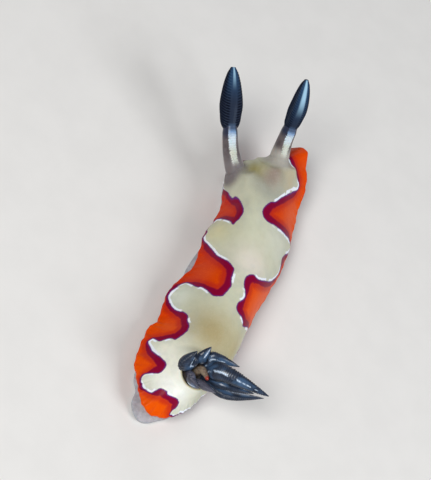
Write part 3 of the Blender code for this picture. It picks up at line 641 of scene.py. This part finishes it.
class Shader:
    """A material's nodes, made by short calls."""

    def __init__(self, name, roughness, coat=0.0, subsurface=0.0, specular=0.4, sheen=0.0, gloss=(1.0, 1.0, 1.0)):
        self.material = bpy.data.materials.new(name)
        self.material.use_nodes = True
        self.tree = self.material.node_tree
        self.surface = self.tree.nodes["Principled BSDF"]
        self.fill(self.surface, {
            "Roughness": roughness, "Coat Weight": coat, "Coat Roughness": 0.16, "IOR": 1.40,
            "Specular IOR Level": specular, "Specular Tint": gloss, "Sheen Weight": sheen, "Sheen Roughness": 0.4,
        })
        if subsurface:
            self.fill(self.surface, {
                "Subsurface Weight": subsurface, "Subsurface Scale": 0.6 * MM, "Subsurface Radius": (1.0, 0.45, 0.25),
            })

    def node(self, kind, **settings):
        made = self.tree.nodes.new(kind)
        for key, value in settings.items():
            setattr(made, key, value)
        return made

    def fill(self, node, values):
        """Fills a node's sockets by their names or their places, and gives its first result."""
        for key, value in values.items():
            self.put(node.inputs[key], value)
        return node.outputs[0]

    def put(self, socket, value):
        """Gives a socket a link, a number, or a colour by its values or by its name among the tones."""
        if isinstance(value, str):
            value = TONES[value]
        if hasattr(value, "links"):
            self.tree.links.new(value, socket)
        elif hasattr(value, "__len__") and len(value) < len(socket.default_value):
            socket.default_value = (*value, 1.0)
        else:
            socket.default_value = value

    def stored(self, name, output="Fac"):
        return self.node("ShaderNodeAttribute", attribute_name=name).outputs[output]

    def math(self, operation, *values):
        return self.fill(self.node("ShaderNodeMath", operation=operation), dict(enumerate(values)))

    def scaled(self, value, gain, more):
        return self.math("MULTIPLY_ADD", value, gain, more)

    def between(self, value, low, high, to_low=0.0, to_high=1.0):
        """Rises smoothly from one value to another as value goes from low to high."""
        made = self.node("ShaderNodeMapRange", interpolation_type="SMOOTHSTEP")
        return self.fill(made, dict(enumerate((value, low, high, to_low, to_high))))

    def share(self, *parts):
        """The product of its parts: each is a value, or what between takes."""
        made = None
        for part in parts:
            part = self.between(*part) if isinstance(part, tuple) else part
            made = part if made is None else self.math("MULTIPLY", made, part)
        return made

    def mix(self, share, a, b, blend="MIX"):
        made = self.node("ShaderNodeMix", data_type="RGBA", blend_type=blend)
        colours = [socket for socket in made.inputs if socket.type == "RGBA"]
        for socket, value in zip((made.inputs["Factor"], *colours), (share, a, b)):
            self.put(socket, value)
        return made.outputs[2]

    def layers(self, colour, *coats):
        """Lays coats over a colour in turn: each gives its own colour and the parts of its share."""
        for coat, *parts in coats:
            colour = self.mix(self.share(*parts), colour, coat)
        return colour

    def noise(self, scale, detail=3.0):
        """Cloudy noise from 0 to 1, with its scale in waves to the millimetre."""
        place = self.node("ShaderNodeTexCoord").outputs["Object"]
        return self.fill(self.node("ShaderNodeTexNoise"), {
            "Vector": place, "Scale": scale / MM, "Detail": detail, "Roughness": 0.55,
        })

    def finish(self, colour, height=None, bump=0.3, distance=0.03):
        self.fill(self.surface, {"Base Color": colour})
        if height is not None:
            values = {"Height": height, "Strength": bump, "Distance": distance * MM}
            self.fill(self.surface, {"Normal": self.fill(self.node("ShaderNodeBump"), values)})
        return self.material


def shaded(colour, by):
    """A colour made darker or lighter by one number, or by one for each of its parts."""
    return tuple(np.multiply(tuple(colour), by))


def skin_material(settings):
    """Cream back, a broken white line, a violet fringe, a maroon band and an orange margin, with painted shade on the
    orange towards the left and the head and in the gill pocket, and the back's tints partly painted light.
    """
    look = Shader("slug_skin", roughness=0.45, coat=0.05, subsurface=0.10, specular=0.14, gloss=(1.0, 0.78, 0.55))
    fine, middle, broad = look.noise(9.0, 2.0), look.noise(3.4), look.noise(1.6)
    notch, orange_tone_and_shade, pocket = (look.stored(name) for name in ("notch", "orange_tone_and_shade", "pocket"))
    wander = look.math("ADD", look.scaled(middle, 0.10, -0.05), look.scaled(fine, 0.05, -0.025))
    border = look.math("ADD", look.stored("border"), wander)
    clouded = look.share((broad, 0.35, 0.75, 0.0, 0.5))
    cream = look.layers(
        look.mix(clouded, look.stored("back_tone_and_light", "Color"), "cream cloud", "MULTIPLY"),
        ("cream fleck", (fine, 0.45, 0.8, 0.0, 0.07)),
        ("marbling", (border, -0.95, -0.20), (look.noise(2.2, 2.0), 0.35, 0.70, 0.04, 0.22)),
    )
    # The orange is painted redder and darker towards the left and the head as shade, and warmer towards the right and
    # the rear
    orange = look.layers(
        shaded(settings.orange, (0.84, 0.55, 0.6)),
        (settings.orange, (border, 0.5, 1.5)),
        ("red orange", (orange_tone_and_shade, 0.45, 0.0, 0.0, 0.8)),
        ("warm orange", (orange_tone_and_shade, 0.2, 0.8, 0.0, 0.7)),
        ("deep orange", (broad, 0.4, 0.75, 0.0, 0.35)),
        ("bright orange", (fine, 0.5, 0.8, 0.0, 0.25)),
    )
    band = look.math("MAXIMUM", look.scaled(notch, 0.26, 0.34), 0.10)
    band_edge = look.math("MULTIPLY", band, 1.5)
    past_band = look.between(border, band, band_edge)
    margin = look.layers(
        settings.maroon,
        (orange, past_band),
        ("red edge", past_band, (border, band_edge, look.math("ADD", band_edge, 0.35), 1.0, 0.0), 0.75),
        (settings.violet, (border, 0.02, 0.13, 0.85, 0.0)),
    )
    foot = look.layers(
        settings.foot,
        (shaded(settings.foot, 1.35), (middle, 0.35, 0.7)),
        ("foot fleck", (fine, 0.54, 0.72, 0.0, 0.3)),
    )
    on_line = look.share((border, -0.17, -0.12), (border, -0.03, 0.02, 1.0, 0.0))
    unbroken = look.share((notch, 0.02, 0.35, 1.0, 0.0), (look.noise(1.1, 1.0), 0.36, 0.46))
    flesh = look.layers(
        cream,
        (margin, (border, -0.03, 0.03)),
        (settings.white, on_line, unbroken, look.stored("line")),
        ("pocket slope", (pocket, 0.28, 0.50)),
        # The floor of the pocket under the gills is painted nearly black as shade
        ("pocket floor", (pocket, 0.55, 0.75, 0.0, 0.92)),
        (foot, look.stored("foot")),
    )
    relief = look.math("ADD", look.share(look.noise(14.0, 2.0), 0.5), look.share(middle, 0.8))
    return look.finish(flesh, relief, bump=0.22, distance=0.05)


def skin_faces(counts, rows):
    """Faces between neighbouring rays, with the rays' shared ends made one point."""
    side, head = counts[:2]
    total = sum(counts)
    ids = np.arange(total * rows).reshape(total, rows)
    left_first = side + head
    for row in (0, rows - 1):
        for k in range(1, side):
            ids[left_first + side - k, row] = ids[k, row]
        ids[side:left_first + 1, row] = ids[side, row]
        ids[left_first + side:, row] = ids[0, row]
    near, far = ids, np.roll(ids, -1, axis=0)
    quads = np.stack([near[:, :-1], far[:, :-1], far[:, 1:], near[:, 1:]], -1).reshape(-1, 4)
    faces = [corners for corners in (list(dict.fromkeys(quad)) for quad in quads.tolist()) if len(corners) > 2]
    used, renamed = np.unique(np.concatenate(faces), return_inverse=True)
    names = iter(renamed.tolist())
    return used, [[next(names) for _ in face][::-1] for face in faces]


def from_axis(points, centre, axis):
    """How high along an axis each point lies, and how far out from it."""
    offset = points - centre
    height = offset @ axis
    return height, np.linalg.norm(offset - height[:, None] * axis, axis=1)


def pull_to_collars(points, weight):
    """Draws the head's skin up round each feeler's root, and says how close to a root each point is."""
    closeness = {}
    for side, line in FEELERS.items():
        line = np.array(line)
        top, way = curve_points(line, [COLLAR_TOP])[0], curve_ways(line, [COLLAR_TOP])[0]
        height, out = from_axis(points, top, way)
        inset = np.clip((out - STALK_ROOT_RADIUS + 0.09) / COLLAR_FILLET, 0, 1)
        target = 0.05 - COLLAR_FILLET * np.sqrt(1 - (1 - inset)**2) - 1.5 * np.maximum(out - 1.4, 0)
        near = smooth_step(*COLLAR_REACH, out) * smooth_step(*COLLAR_DEPTH, height) * weight
        lifted = COLLAR_SOFTNESS * np.logaddexp(height / COLLAR_SOFTNESS, target / COLLAR_SOFTNESS)
        points = points + (near * (lifted - height))[:, None] * way
        gap = np.linalg.norm(points - curve_points(line, [0.03])[0] - ROOT_SHIFTS[side], axis=1)
        closeness[side] = smooth_step(ROOT_FADES[side], ROOT_FULL, gap)
    return points, closeness


def raise_gill_pocket(points, weight):
    """Raises the rim round the gills, sinks the floor inside it, and says how deep in it each point is."""
    axis = unit(np.array(GILL_AXIS))
    height, out = from_axis(points, np.array(GILL_CENTRE), axis)
    target = np.interp(out, *np.array(POCKET_PROFILE).T)
    near = smooth_step(*POCKET_REACH, out) * weight
    rim, slope = POCKET_SLOPE
    return points + (near * (target - height))[:, None] * axis, np.clip((rim - out) / slope, 0, 1) * weight


def snout_frame():
    """The middle of the snout, and the ways ahead of it and across it."""
    pole = smooth_rows(BACK, 1.0)[0]
    x, y = heading(np.array([1.0]))[0][0]
    ahead, across = np.array((x, y, 0.0)), np.array((y, -x, 0.0))
    return np.array((pole[0], pole[1], SNOUT_HEIGHT)) + ahead * SNOUT_AHEAD + across * SNOUT_ASIDE, ahead, across


def bulge_snout(points, distance, way, start, weight):
    """Swells the front of the foot's wall into the snout."""
    offset = snout_frame()[0][:2] - start
    along = np.sum(offset * way, axis=1)[:, None]
    beside = np.linalg.norm(offset - along * way, axis=1)[:, None]
    width, length, height = SNOUT_SIZE
    plan = (width + length) / 2
    rise = (points[..., 2] - SNOUT_HEIGHT) / (height + 0.06)
    room = np.maximum(1 - (beside / plan)**2 - rise**2, 0)
    reach = along + plan * np.sqrt(room)
    gain = np.maximum(reach - distance, 0) * smooth_step(0, 0.3, room) * weight * (along > 0)
    return np.concatenate([points[..., :2] + way[:, None] * gain[..., None], points[..., 2:]], 2)


def skin_points(settings):
    """The skin's points and faces, what is kept on each point, its flat place and how near a feeler it is."""
    counts = (SIDE_RAYS, HEAD_RAYS, SIDE_RAYS, REAR_RAYS)
    places = np.concatenate([first + np.arange(count) / count for first, count in enumerate(counts)])
    section = ray_sections(places, settings.rim_thickness)
    start, _, way, _ = rays(places)
    rows = section.shape[1]
    flat, out = laid_out(places, section)
    from_rim = out[:, TOP_ROWS, None] - out
    rim_end = TOP_ROWS + RIM_ROWS
    under_end = rim_end + UNDER_ROWS + 1

    row = np.arange(rows)[None] + np.zeros((len(places), 1))
    perimeter = places[:, None] * 2 * np.pi
    wave = sum(height * np.sin(number * perimeter + first) for number, first, height in RIPPLES)
    near_rim = np.exp(-(from_rim / RIPPLE_WIDTH)**2) * (row <= under_end)
    section[..., 1] += settings.ripple * wave * near_rim
    section[..., 0] += 0.5 * settings.ripple * np.roll(wave, 7, axis=0) * near_rim
    points = np.concatenate([start[:, None] + way[:, None] * section[..., :1], section[..., 1:]], -1)
    in_wall = (row >= under_end - 4) & (row < rows - SOLE_ROWS - LIP_ROWS)
    points = bulge_snout(points, section[..., 0], way, start, in_wall)
    weight = smooth_step(-0.1, 0.7, from_rim) * (row <= TOP_ROWS)

    used, faces = skin_faces(counts, rows)
    points, weight, flat, row, from_rim = (
        grid.reshape(-1, *grid.shape[2:])[used] for grid in (points, weight, flat, row, from_rim)
    )
    points, closeness = pull_to_collars(points, weight)
    points, pocket = raise_gill_pocket(points, weight)
    border, notch = distances_to_border(flat)
    below = row > rim_end
    values = {
        "border": np.where(below, 0.4 + 0.3 * np.abs(from_rim), border - BORDER_RETREAT * closeness["left"]),
        "notch": np.where(below, -0.2, notch),
        "foot": smooth_step(rim_end + 2, rim_end + 9, row),
        "pocket": pocket,
        # How warm the orange is: it falls towards the left and the head, where the orange is painted redder and
        # darker as shade, and rises towards the right and the rear
        "orange_tone_and_shade": np.clip(0.45 + 0.10 * flat[:, 0] + 0.05 * (8 - flat[:, 1]), 0, 1),
        "line": smooth_step(0.7 * LINE_GAP_SIZE, LINE_GAP_SIZE, np.linalg.norm(flat - LINE_GAP, axis=1)),
    }
    return points, faces, values, flat, closeness


def back_tones_and_light(flat, cream, closeness):
    """The cream of the back with its soft tints, partly painted light and shade, and the feelers' root colours, for
    every point laid out flat.
    """
    colours = np.tile(np.array(cream), (len(flat), 1))
    for centre, size, zone_colour_and_light, strength in BACK_TONES_AND_LIGHT:
        gap = (flat - centre) / size
        share = strength * np.exp(-np.sum(gap * gap, axis=1))
        colours += share[:, None] * (np.array(zone_colour_and_light) - colours)
    for side, close in closeness.items():
        colours += close[:, None] * (np.array(FEELER_ROOT_COLOURS[side]) - colours)
    return colours


class BuildSkin(bpy.types.Operator):
    """Builds the skin of the back, the foot, the tail and the snout as one mesh"""

    bl_idname = "sea_slug.skin"
    bl_label = "Skin"

    def execute(self, context):
        settings = context.scene.sea_slug.skin
        points, faces, values, flat, closeness = skin_points(settings)
        skin = new_piece("skin", points, faces, skin_material(settings), values, "mantle", *SKIN_NODES)
        colours = np.column_stack([back_tones_and_light(flat, settings.cream, closeness), np.ones(len(flat))])
        stored = skin.data.attributes.new("back_tone_and_light", "FLOAT_COLOR", "POINT")
        stored.data.foreach_set("color", colours.astype(np.float32).ravel())
        return {"FINISHED"}


def ring_angles(sides):
    """Evenly spaced angles round a ring."""
    return 2 * np.pi * np.arange(sides) / sides


def tube(line, shares, widths, depths, back, sides, gain=None):
    """Rings along a line, closed at both ends, with each point's share and its angle from the back."""
    centres, ways = curve_points(line, shares), curve_ways(line, shares)
    first = unit(back - np.sum(back * ways, axis=1)[:, None] * ways)
    second = np.cross(ways, first)
    angle = ring_angles(sides)
    out = first[:, None] * np.cos(angle)[None, :, None] * depths[:, None, None]
    out = out + second[:, None] * np.sin(angle)[None, :, None] * widths[:, None, None]
    points = centres[:, None] + (out if gain is None else out * gain[..., None])
    rings = len(shares)
    verts = np.vstack([points.reshape(-1, 3), points[0].mean(axis=0), points[-1].mean(axis=0)])
    ids = np.arange(rings * sides).reshape(rings, sides)
    after = np.roll(ids, -1, axis=1)
    faces = np.stack([ids[:-1], after[:-1], after[1:], ids[1:]], -1).reshape(-1, 4).tolist()
    faces += [[b, a, rings * sides] for a, b in zip(ids[0].tolist(), after[0].tolist())]
    faces += [[a, b, rings * sides + 1] for a, b in zip(ids[-1].tolist(), after[-1].tolist())]
    along = np.concatenate([np.repeat(shares, sides), [shares[0], shares[-1]]])
    around = np.concatenate([np.tile(np.cos(angle), rings), [0, 0]])
    return verts, faces, along, around


def taper(line, profile, rings, back, sides):
    """A round tube along a line, with its radius from a profile."""
    shares = np.linspace(0, 1, rings)
    radius = smooth_rows(profile, shares)[:, 0]
    return tube(line, shares, radius, radius, np.array(back), sides)[:3]


def stalk_material(side, settings):
    """Translucent grey-brown flesh that pales into the head, with a ragged opaque streak behind."""
    look = Shader(f"feeler_stalk_{side}", roughness=0.36, coat=0.10, subsurface=0.2, specular=0.3, sheen=0.35)
    along, around = look.stored("along"), look.stored("around")
    cloud, fine = look.noise(3.0), look.noise(12.0, 2.0)
    ticks = look.math("SINE", look.scaled(along, 240.0, look.share(fine, 16.0)))
    ragged = look.math("ADD", around, look.scaled(ticks, 0.022, look.scaled(fine, 0.20, -0.09)))
    edge = look.between(along, 0.14, 0.40, 0.93, 0.84)
    streak = look.layers(
        "streak foot", (settings.streak, (along, 0.22, 0.36)), ("streak blue", (along, 0.38, 0.46))
    )
    flesh = look.layers(
        settings.stalk,
        (shaded(settings.stalk, 1.6), (cloud, 0.3, 0.7)),
        ("stalk side", (around, 0.05, 0.5, 0.7, 0.0)),
        (shaded(settings.club, 1.6), (along, 0.34, 0.45, 0.0, 0.95)),
        (FEELER_ROOT_COLOURS[side], (along, 0.10, 0.24, 0.95, 0.0)),
        (streak, (ragged, edge, look.math("ADD", edge, 0.05)), (along, 0.06, 0.15),
         (along, 0.44, CLUB_START, 1.0, 0.25), (ticks, -1.0, 0.0, 0.75, 1.0)),
    )
    return look.finish(flesh, cloud, bump=0.2, distance=0.04)


def club_material(side, settings):
    """Dark blue plates painted near black in their grooves as shade and slightly paler at their edges, a painted blue
    sheen on the back towards the tip, and a pale streak at the tip.
    """
    look = Shader(f"feeler_club_{side}", roughness=0.38, coat=0.03, specular=0.12, gloss=(0.55, 0.75, 1.0))
    along, around, ridge = (look.stored(name) for name in ("along", "around", "ridge"))
    start, end = TIP_STREAKS[side]
    flesh = look.layers(
        # The grooves between the plates are painted near black as shade, and the crests are paler
        shaded(settings.club, 0.15),
        (shaded(settings.club, 0.75), ridge),
        ("plate edge", (ridge, 0.86, 1.0, 0.0, 0.60)),
        ("club cloud", (look.noise(4.0), 0.45, 0.75, 0.0, 0.4)),
        # A painted blue sheen on the back of the club towards its tip
        ("club glow", (around, 0.45, 0.95), (along, start - 0.12, 1.0), 0.75),
        (shaded(settings.streak, (0.62, 0.85, 1.0)), (around, *TIP_STREAK_SIDES[side]), (along, start, end), 0.85),
        ("streak blue", (around, 0.84, 0.95), (along, CLUB_START, 0.54, 0.35, 0.0)),
    )
    return look.finish(flesh, look.noise(16.0, 2.0), bump=0.25, distance=0.03)


def build_stalk(side, settings):
    """A stalk that widens into the head and narrows a little under its club."""
    shares = np.linspace(0.0, STALK_TOP, STALK_RINGS)
    spread = np.clip(1 - (shares - COLLAR_TOP) / (STALK_END - COLLAR_TOP), 0, 1)
    radius = STALK_RADIUS + (STALK_ROOT_RADIUS - STALK_RADIUS) * spread**2 - STALK_SLACK
    radius = radius * (1 - 0.10 * smooth_step(STALK_END - 0.03, STALK_TOP, shares))
    verts, faces, along, around = tube(FEELERS[side], shares, radius, radius, FEELER_BACK, STALK_SIDES)
    values = {"along": along, "around": around}
    node = f"rhinophore_{side}_stalk"
    new_piece(f"{node}_flesh", verts, faces, stalk_material(side, settings), values, "feeler_stalk", node)


def build_club(side, settings):
    """A club with slanted plates raised all round it, which meet behind in chevrons."""
    line = np.array(FEELERS[side])
    reach = np.linspace(0, 1, settings.plates * RINGS_PER_PLATE + 1)
    shares = CLUB_START + (1 - CLUB_START) * reach
    width = CLUB_RADIUS[side] * smooth_rows(CLUB_PROFILE, reach)[:, 0]
    ends = smooth_step(0, 0.05, reach) * smooth_step(1.0, 0.93, reach)
    angle = ring_angles(CLUB_SIDES)
    rise = settings.plate_slant * (1 - np.abs(np.cos(angle / 2)))
    length = np.linalg.norm(line[-1] - line[-3])
    fold = settings.plates * (reach[:, None] - rise[None] * width[:, None] / length * 1.3) % 1.0
    crest = 1 - 0.95 * smooth_step(0.88, 0.96, np.cos(angle)) - 0.3 * smooth_step(-0.9, -1.0, np.cos(angle))
    ridge = 1 - crest[None] * (1 - np.sin(np.pi * fold)**0.55)
    gain = 1 - settings.plate_depth * ends[:, None] * (1 - ridge)
    verts, faces, along, around = tube(line, shares, width, width * CLUB_DEPTH, FEELER_BACK, CLUB_SIDES, gain)
    values = {"along": along, "around": around, "ridge": np.append(ridge, [1.0, 1.0])}
    node = f"rhinophore_{side}_club"
    new_piece(f"{node}_flesh", verts, faces, club_material(side, settings), values, "feeler_club", node)


class BuildFeelers(bpy.types.Operator):
    """Builds the two feelers, each with its stalk and its plated club"""

    bl_idname = "sea_slug.feelers"
    bl_label = "Feelers"

    def execute(self, context):
        settings = context.scene.sea_slug.feelers
        for side in FEELERS:
            build_stalk(side, settings)
            build_club(side, settings)
        return {"FINISHED"}


def gill_material(settings):
    """Blue-black flesh, paler in the small rear branches, with painted shade between the leaflets, a painted blue
    sheen on the faces, and a broken pale streak along each face that is partly white pigment and partly a painted
    highlight.
    """
    look = Shader("gill_flesh", roughness=0.30, coat=0.35)
    facing, along, ridge, pale = (look.stored(name) for name in ("facing", "along", "ridge", "pale"))
    cloud = look.noise(2.2)
    ends = look.share((along, 0.14, 0.30), (along, 0.88, 0.98, 1.0, 0.0))
    flesh = look.layers(
        settings.flesh,
        (shaded(settings.flesh, 2.2), (cloud, 0.35, 0.7)),
        ("pale gill", pale, (cloud, 0.3, 0.6, 0.4, 0.9)),
        # The grooves between the leaflets are painted near black as shade, and the crests are paler
        ("leaflet edge", (ridge, 0.75, 1.0, 0.0, 0.35)),
        ("leaflet groove", (ridge, 0.0, 0.45, 0.6, 0.0)),
        # A painted blue sheen on the faces, and a broken pale streak that is partly white pigment and partly a
        # painted highlight
        ("gill sheen", (facing, 0.60, 0.95), (look.noise(1.3, 1.0), 0.40, 0.60), ends, 0.5),
        (settings.streak, (facing, 0.978, 0.998), (look.noise(2.8), 0.46, 0.56), ends, (ridge, 0.15, 0.6, 0.35, 1.0)),
    )
    return look.finish(flesh, look.noise(12.0, 2.0), bump=0.2, distance=0.03)


def gill_line(angle, middle, tip):
    """The line of a gill branch from its root on the ring, and the way its outer keel faces."""
    centre, axis = np.array(GILL_CENTRE), unit(np.array(GILL_AXIS))
    ahead = np.array((0.0, 1.0, 0.0))
    ahead = unit(ahead - axis * (ahead @ axis))
    left = np.cross(axis, ahead)
    turn = math.radians(angle)
    outward = ahead * math.cos(turn) - left * math.sin(turn)
    root = centre + axis * 0.05 + outward * GILL_RING_RADIUS
    bend = root + (centre + middle - root) * GILL_BEND + axis * GILL_RISE
    return np.array([root, bend, centre + middle, centre + tip]), outward - axis * KEEL_DROP


def build_branch(number, branch, settings):
    """A lance-shaped gill branch whose close leaflets are raised in its surface, slanting from its keels."""
    angle, middle, tip, width = branch
    line, keel = gill_line(angle, np.array(middle), np.array(tip))
    length = np.linalg.norm(np.diff(curve_points(line, np.linspace(0, 1, 60)), axis=0), axis=1).sum()
    leaflets = max(round(length / settings.spacing), 8)
    reach = np.linspace(0, 1, leaflets * RINGS_PER_LEAFLET + 1)
    across = settings.fullness * width / 2 * smooth_rows(GILL_PROFILE, reach)[:, 0]
    lengths = np.random.default_rng(100 + number).uniform(*LEAFLET_LENGTHS, 4 * leaflets)
    ends = smooth_step(0, 0.06, reach) * smooth_step(1.0, 0.95, reach)
    beside = np.abs(np.sin(ring_angles(GILL_SIDES)))[None]
    phase = leaflets * reach[:, None] - settings.slant * beside * across[:, None] / settings.spacing
    number_of = (np.floor(phase).astype(int) + 2 * leaflets) % len(lengths)
    ridge = np.sin(np.pi * (phase % 1.0))**0.6
    deep = settings.leaflet_depth * (0.10 + 0.90 * beside**3) * ends[:, None]
    gain = (1 + (lengths[number_of] - 1) * beside**4) * (1 - deep * (1 - ridge))
    verts, faces, along, around = tube(line, reach, across, across * GILL_DEPTH, keel, GILL_SIDES, gain)
    values = {"facing": np.abs(around), "along": along, "ridge": np.append(ridge, [1.0, 1.0])}
    return verts, faces, values | {"pale": np.full(len(verts), angle > PALE_ANGLE, float)}


def joined(parts):
    """One list of points, faces and kept values from many parts."""
    verts = np.vstack([part[0] for part in parts])
    faces, count = [], 0
    for points, polygons, _ in parts:
        faces += [[corner + count for corner in polygon] for polygon in polygons]
        count += len(points)
    return verts, faces, {key: np.concatenate([part[2][key] for part in parts]) for key in parts[0][2]}


def papilla_material(colour):
    """Mottled tan flesh that reddens at the tip."""
    look = Shader("papilla_flesh", roughness=0.35, coat=0.2, subsurface=0.2)
    cloud = look.noise(7.0)
    redder = look.math("ADD", look.stored("along"), look.scaled(cloud, 0.2, -0.1))
    return look.finish(
        look.layers("papilla tan", ("papilla brown", (cloud, 0.35, 0.7)), (colour, (redder, 0.80, 0.92))), cloud
    )


class BuildGills(bpy.types.Operator):
    """Builds the ring of feathered gills and the anal papilla inside it"""

    bl_idname = "sea_slug.gills"
    bl_label = "Gills"

    def execute(self, context):
        settings = context.scene.sea_slug.gills
        verts, faces, values = joined([build_branch(i, branch, settings) for i, branch in enumerate(GILL_BRANCHES)])
        new_piece("gill_plume", verts, faces, gill_material(settings), values, "gill", "gills")
        verts, faces, along = taper(np.array(GILL_CENTRE) + PAPILLA, PAPILLA_PROFILE, 60, (0.0, 1.0, 0.2), 32)
        material = papilla_material(settings.papilla)
        new_piece("anal_papilla_flesh", verts, faces, material, {"along": along}, "papilla", "anal_papilla")
        return {"FINISHED"}


def lip_ring(centre, ahead, across):
    """A soft ring round the mouth furrow, bent back at its two corners."""
    turn, roll = (ring_angles(sides)[:, None] for sides in LIP_SIDES)
    out = across * np.cos(turn) * LIP_WIDTH + np.array((0, 0, 1.0)) * np.sin(turn) * LIP_HEIGHT
    ring = centre + ahead * (SNOUT_SIZE[1] + 0.03) + out - ahead * LIP_BEND * np.cos(turn)**2
    rings = ring[:, None] + LIP_RADIUS * (unit(out)[:, None] * np.cos(roll) + ahead * np.sin(roll))
    ids = np.arange(len(turn) * len(roll)).reshape(len(turn), -1)
    after = np.roll(ids, -1, 0)
    faces = np.stack([ids, after, np.roll(after, -1, 1), np.roll(ids, -1, 1)], -1)
    return rings.reshape(-1, 3), faces.reshape(-1, 4).tolist()


class BuildMouthParts(bpy.types.Operator):
    """Builds the lips round the mouth and the two oral tentacles"""

    bl_idname = "sea_slug.mouth_parts"
    bl_label = "Mouth parts"

    def execute(self, context):
        colour = context.scene.sea_slug.skin.foot
        look = Shader("tentacle_flesh", roughness=0.3, coat=0.4, subsurface=0.2)
        cloud = look.noise(5.0)
        material = look.finish(look.layers(colour, (shaded(colour, 1.4), (cloud, 0.35, 0.7))), cloud, bump=0.2)
        centre, ahead, across = snout_frame()
        for side, outward in (("left", -across), ("right", across)):
            root = centre + outward * (SNOUT_SIZE[0] + 0.02) + ahead * 0.1
            way = unit(outward * 0.35 + ahead)
            start = root - way * 0.25 - outward * 0.25
            line = np.array([start, root, root + way * 0.35, root + way * 0.55 + outward * 0.03])
            verts, faces, _ = taper(line, TENTACLE_PROFILE, 40, (0.0, 0.0, 1.0), 24)
            new_piece(f"oral_tentacle_{side}_flesh", verts, faces, material, {}, "foot", f"oral_tentacle_{side}")
        new_piece("lips", *lip_ring(centre, ahead, across), material, {}, "foot")
        return {"FINISHED"}


def add_light(name, place, size, energy, colour):
    """A round soft light that shines on the slug."""
    light = bpy.data.lights.new(name, "AREA")
    light.shape, light.size, light.energy, light.color = "DISK", size, energy, colour
    made = bpy.data.objects.new(name, light)
    made.location = place
    made.rotation_euler = (Vector(LIGHT_AIM) - Vector(place)).to_track_quat("-Z", "Y").to_euler()
    bpy.context.scene.collection.objects.link(made)


def add_floor(colour):
    """A plain floor just below the sole."""
    mesh = bpy.data.meshes.new("floor")
    corners = [(1.2 * x, 1.2 * y, 0) for x, y in ((-1, -1), (1, -1), (1, 1), (-1, 1))]
    mesh.from_pydata(corners, [], [(0, 1, 2, 3)])
    look = Shader("floor_finish", roughness=0.75)
    mesh.materials.append(look.finish(look.layers(shaded(colour, 0.97), (colour, (look.noise(0.35, 4.0), 0.3, 0.7)))))
    floor = bpy.data.objects.new("floor", mesh)
    floor.location.z = -0.02 * MM
    bpy.context.scene.collection.objects.link(floor)


def add_camera(settings):
    """A camera that looks down on the slug, rolled so that its body leans by the tilt."""
    azimuth, elevation, tilt = (math.radians(angle) for angle in (AZIMUTH, ELEVATION, TILT))
    roll = tilt - math.atan2(math.sin(azimuth), math.sin(elevation) * math.cos(azimuth))
    turn = Matrix.Rotation(azimuth, 4, "Z") @ Matrix.Rotation(math.pi / 2 - elevation, 4, "X")
    lens = bpy.data.cameras.new("camera")
    lens.sensor_width, lens.lens, lens.clip_start, lens.clip_end = 36, settings.lens, 0.001, 10
    lens.shift_x = (IMAGE_SIZE[0] / 2 - AIM_PIXEL[0]) / max(IMAGE_SIZE)
    lens.shift_y = (AIM_PIXEL[1] - IMAGE_SIZE[1] / 2) / max(IMAGE_SIZE)
    camera = bpy.data.objects.new("camera", lens)
    place = Matrix.Translation((0, 0, AIM_HEIGHT * MM)) @ turn @ Matrix.Translation((0, 0, settings.distance))
    camera.matrix_world = place @ Matrix.Rotation(roll, 4, "Z")
    bpy.context.scene.collection.objects.link(camera)
    bpy.context.scene.camera = camera


class BuildStage(bpy.types.Operator):
    """Builds the floor, the studio lights and the camera"""

    bl_idname = "sea_slug.stage"
    bl_label = "Stage"

    def execute(self, context):
        settings = context.scene.sea_slug.stage
        add_floor(settings.floor)
        world = bpy.data.worlds.new("studio")
        context.scene.world = world
        world.use_nodes = True
        sky = world.node_tree.nodes["Background"].inputs
        sky["Color"].default_value = (0.86, 0.90, 1.0, 1.0)
        sky["Strength"].default_value = 0.16
        for name, values in LIGHTS.items():
            add_light(name, *values)
        add_camera(settings)
        context.scene.view_settings.view_transform = "Standard"
        return {"FINISHED"}


class SeaSlugPanel(bpy.types.Panel):
    """Lists the slug's pieces, and the sizes and colours that they take"""

    bl_idname = "VIEW3D_PT_sea_slug"
    bl_label = "Faithful Sea Slug"
    bl_space_type = "VIEW_3D"
    bl_region_type = "UI"
    bl_category = "Sea Slug"

    def draw(self, context):
        settings = context.scene.sea_slug
        groups = (
            (settings.skin, (BuildSkin, BuildMouthParts)),
            (settings.feelers, (BuildFeelers,)),
            (settings.gills, (BuildGills,)),
            (settings.stage, (BuildStage,)),
        )
        for group, operators in groups:
            box = self.layout.box()
            for name in group.__annotations__:
                box.prop(group, name)
            for operator in operators:
                box.operator(operator.bl_idname)


CLASSES = (
    SkinSettings, FeelerSettings, GillSettings, StageSettings, SeaSlugSettings,
    BuildSkin, BuildFeelers, BuildGills, BuildMouthParts, BuildStage, SeaSlugPanel,
)


def register():
    for item in CLASSES:
        bpy.utils.register_class(item)
    bpy.types.Scene.sea_slug = PointerProperty(type=SeaSlugSettings)


def unregister():
    del bpy.types.Scene.sea_slug
    for item in reversed(CLASSES):
        bpy.utils.unregister_class(item)


def main():
    register()
    bpy.ops.sea_slug.skin()
    bpy.ops.sea_slug.feelers()
    bpy.ops.sea_slug.gills()
    bpy.ops.sea_slug.mouth_parts()
    bpy.ops.sea_slug.stage()


if __name__ == "__main__":
    main()
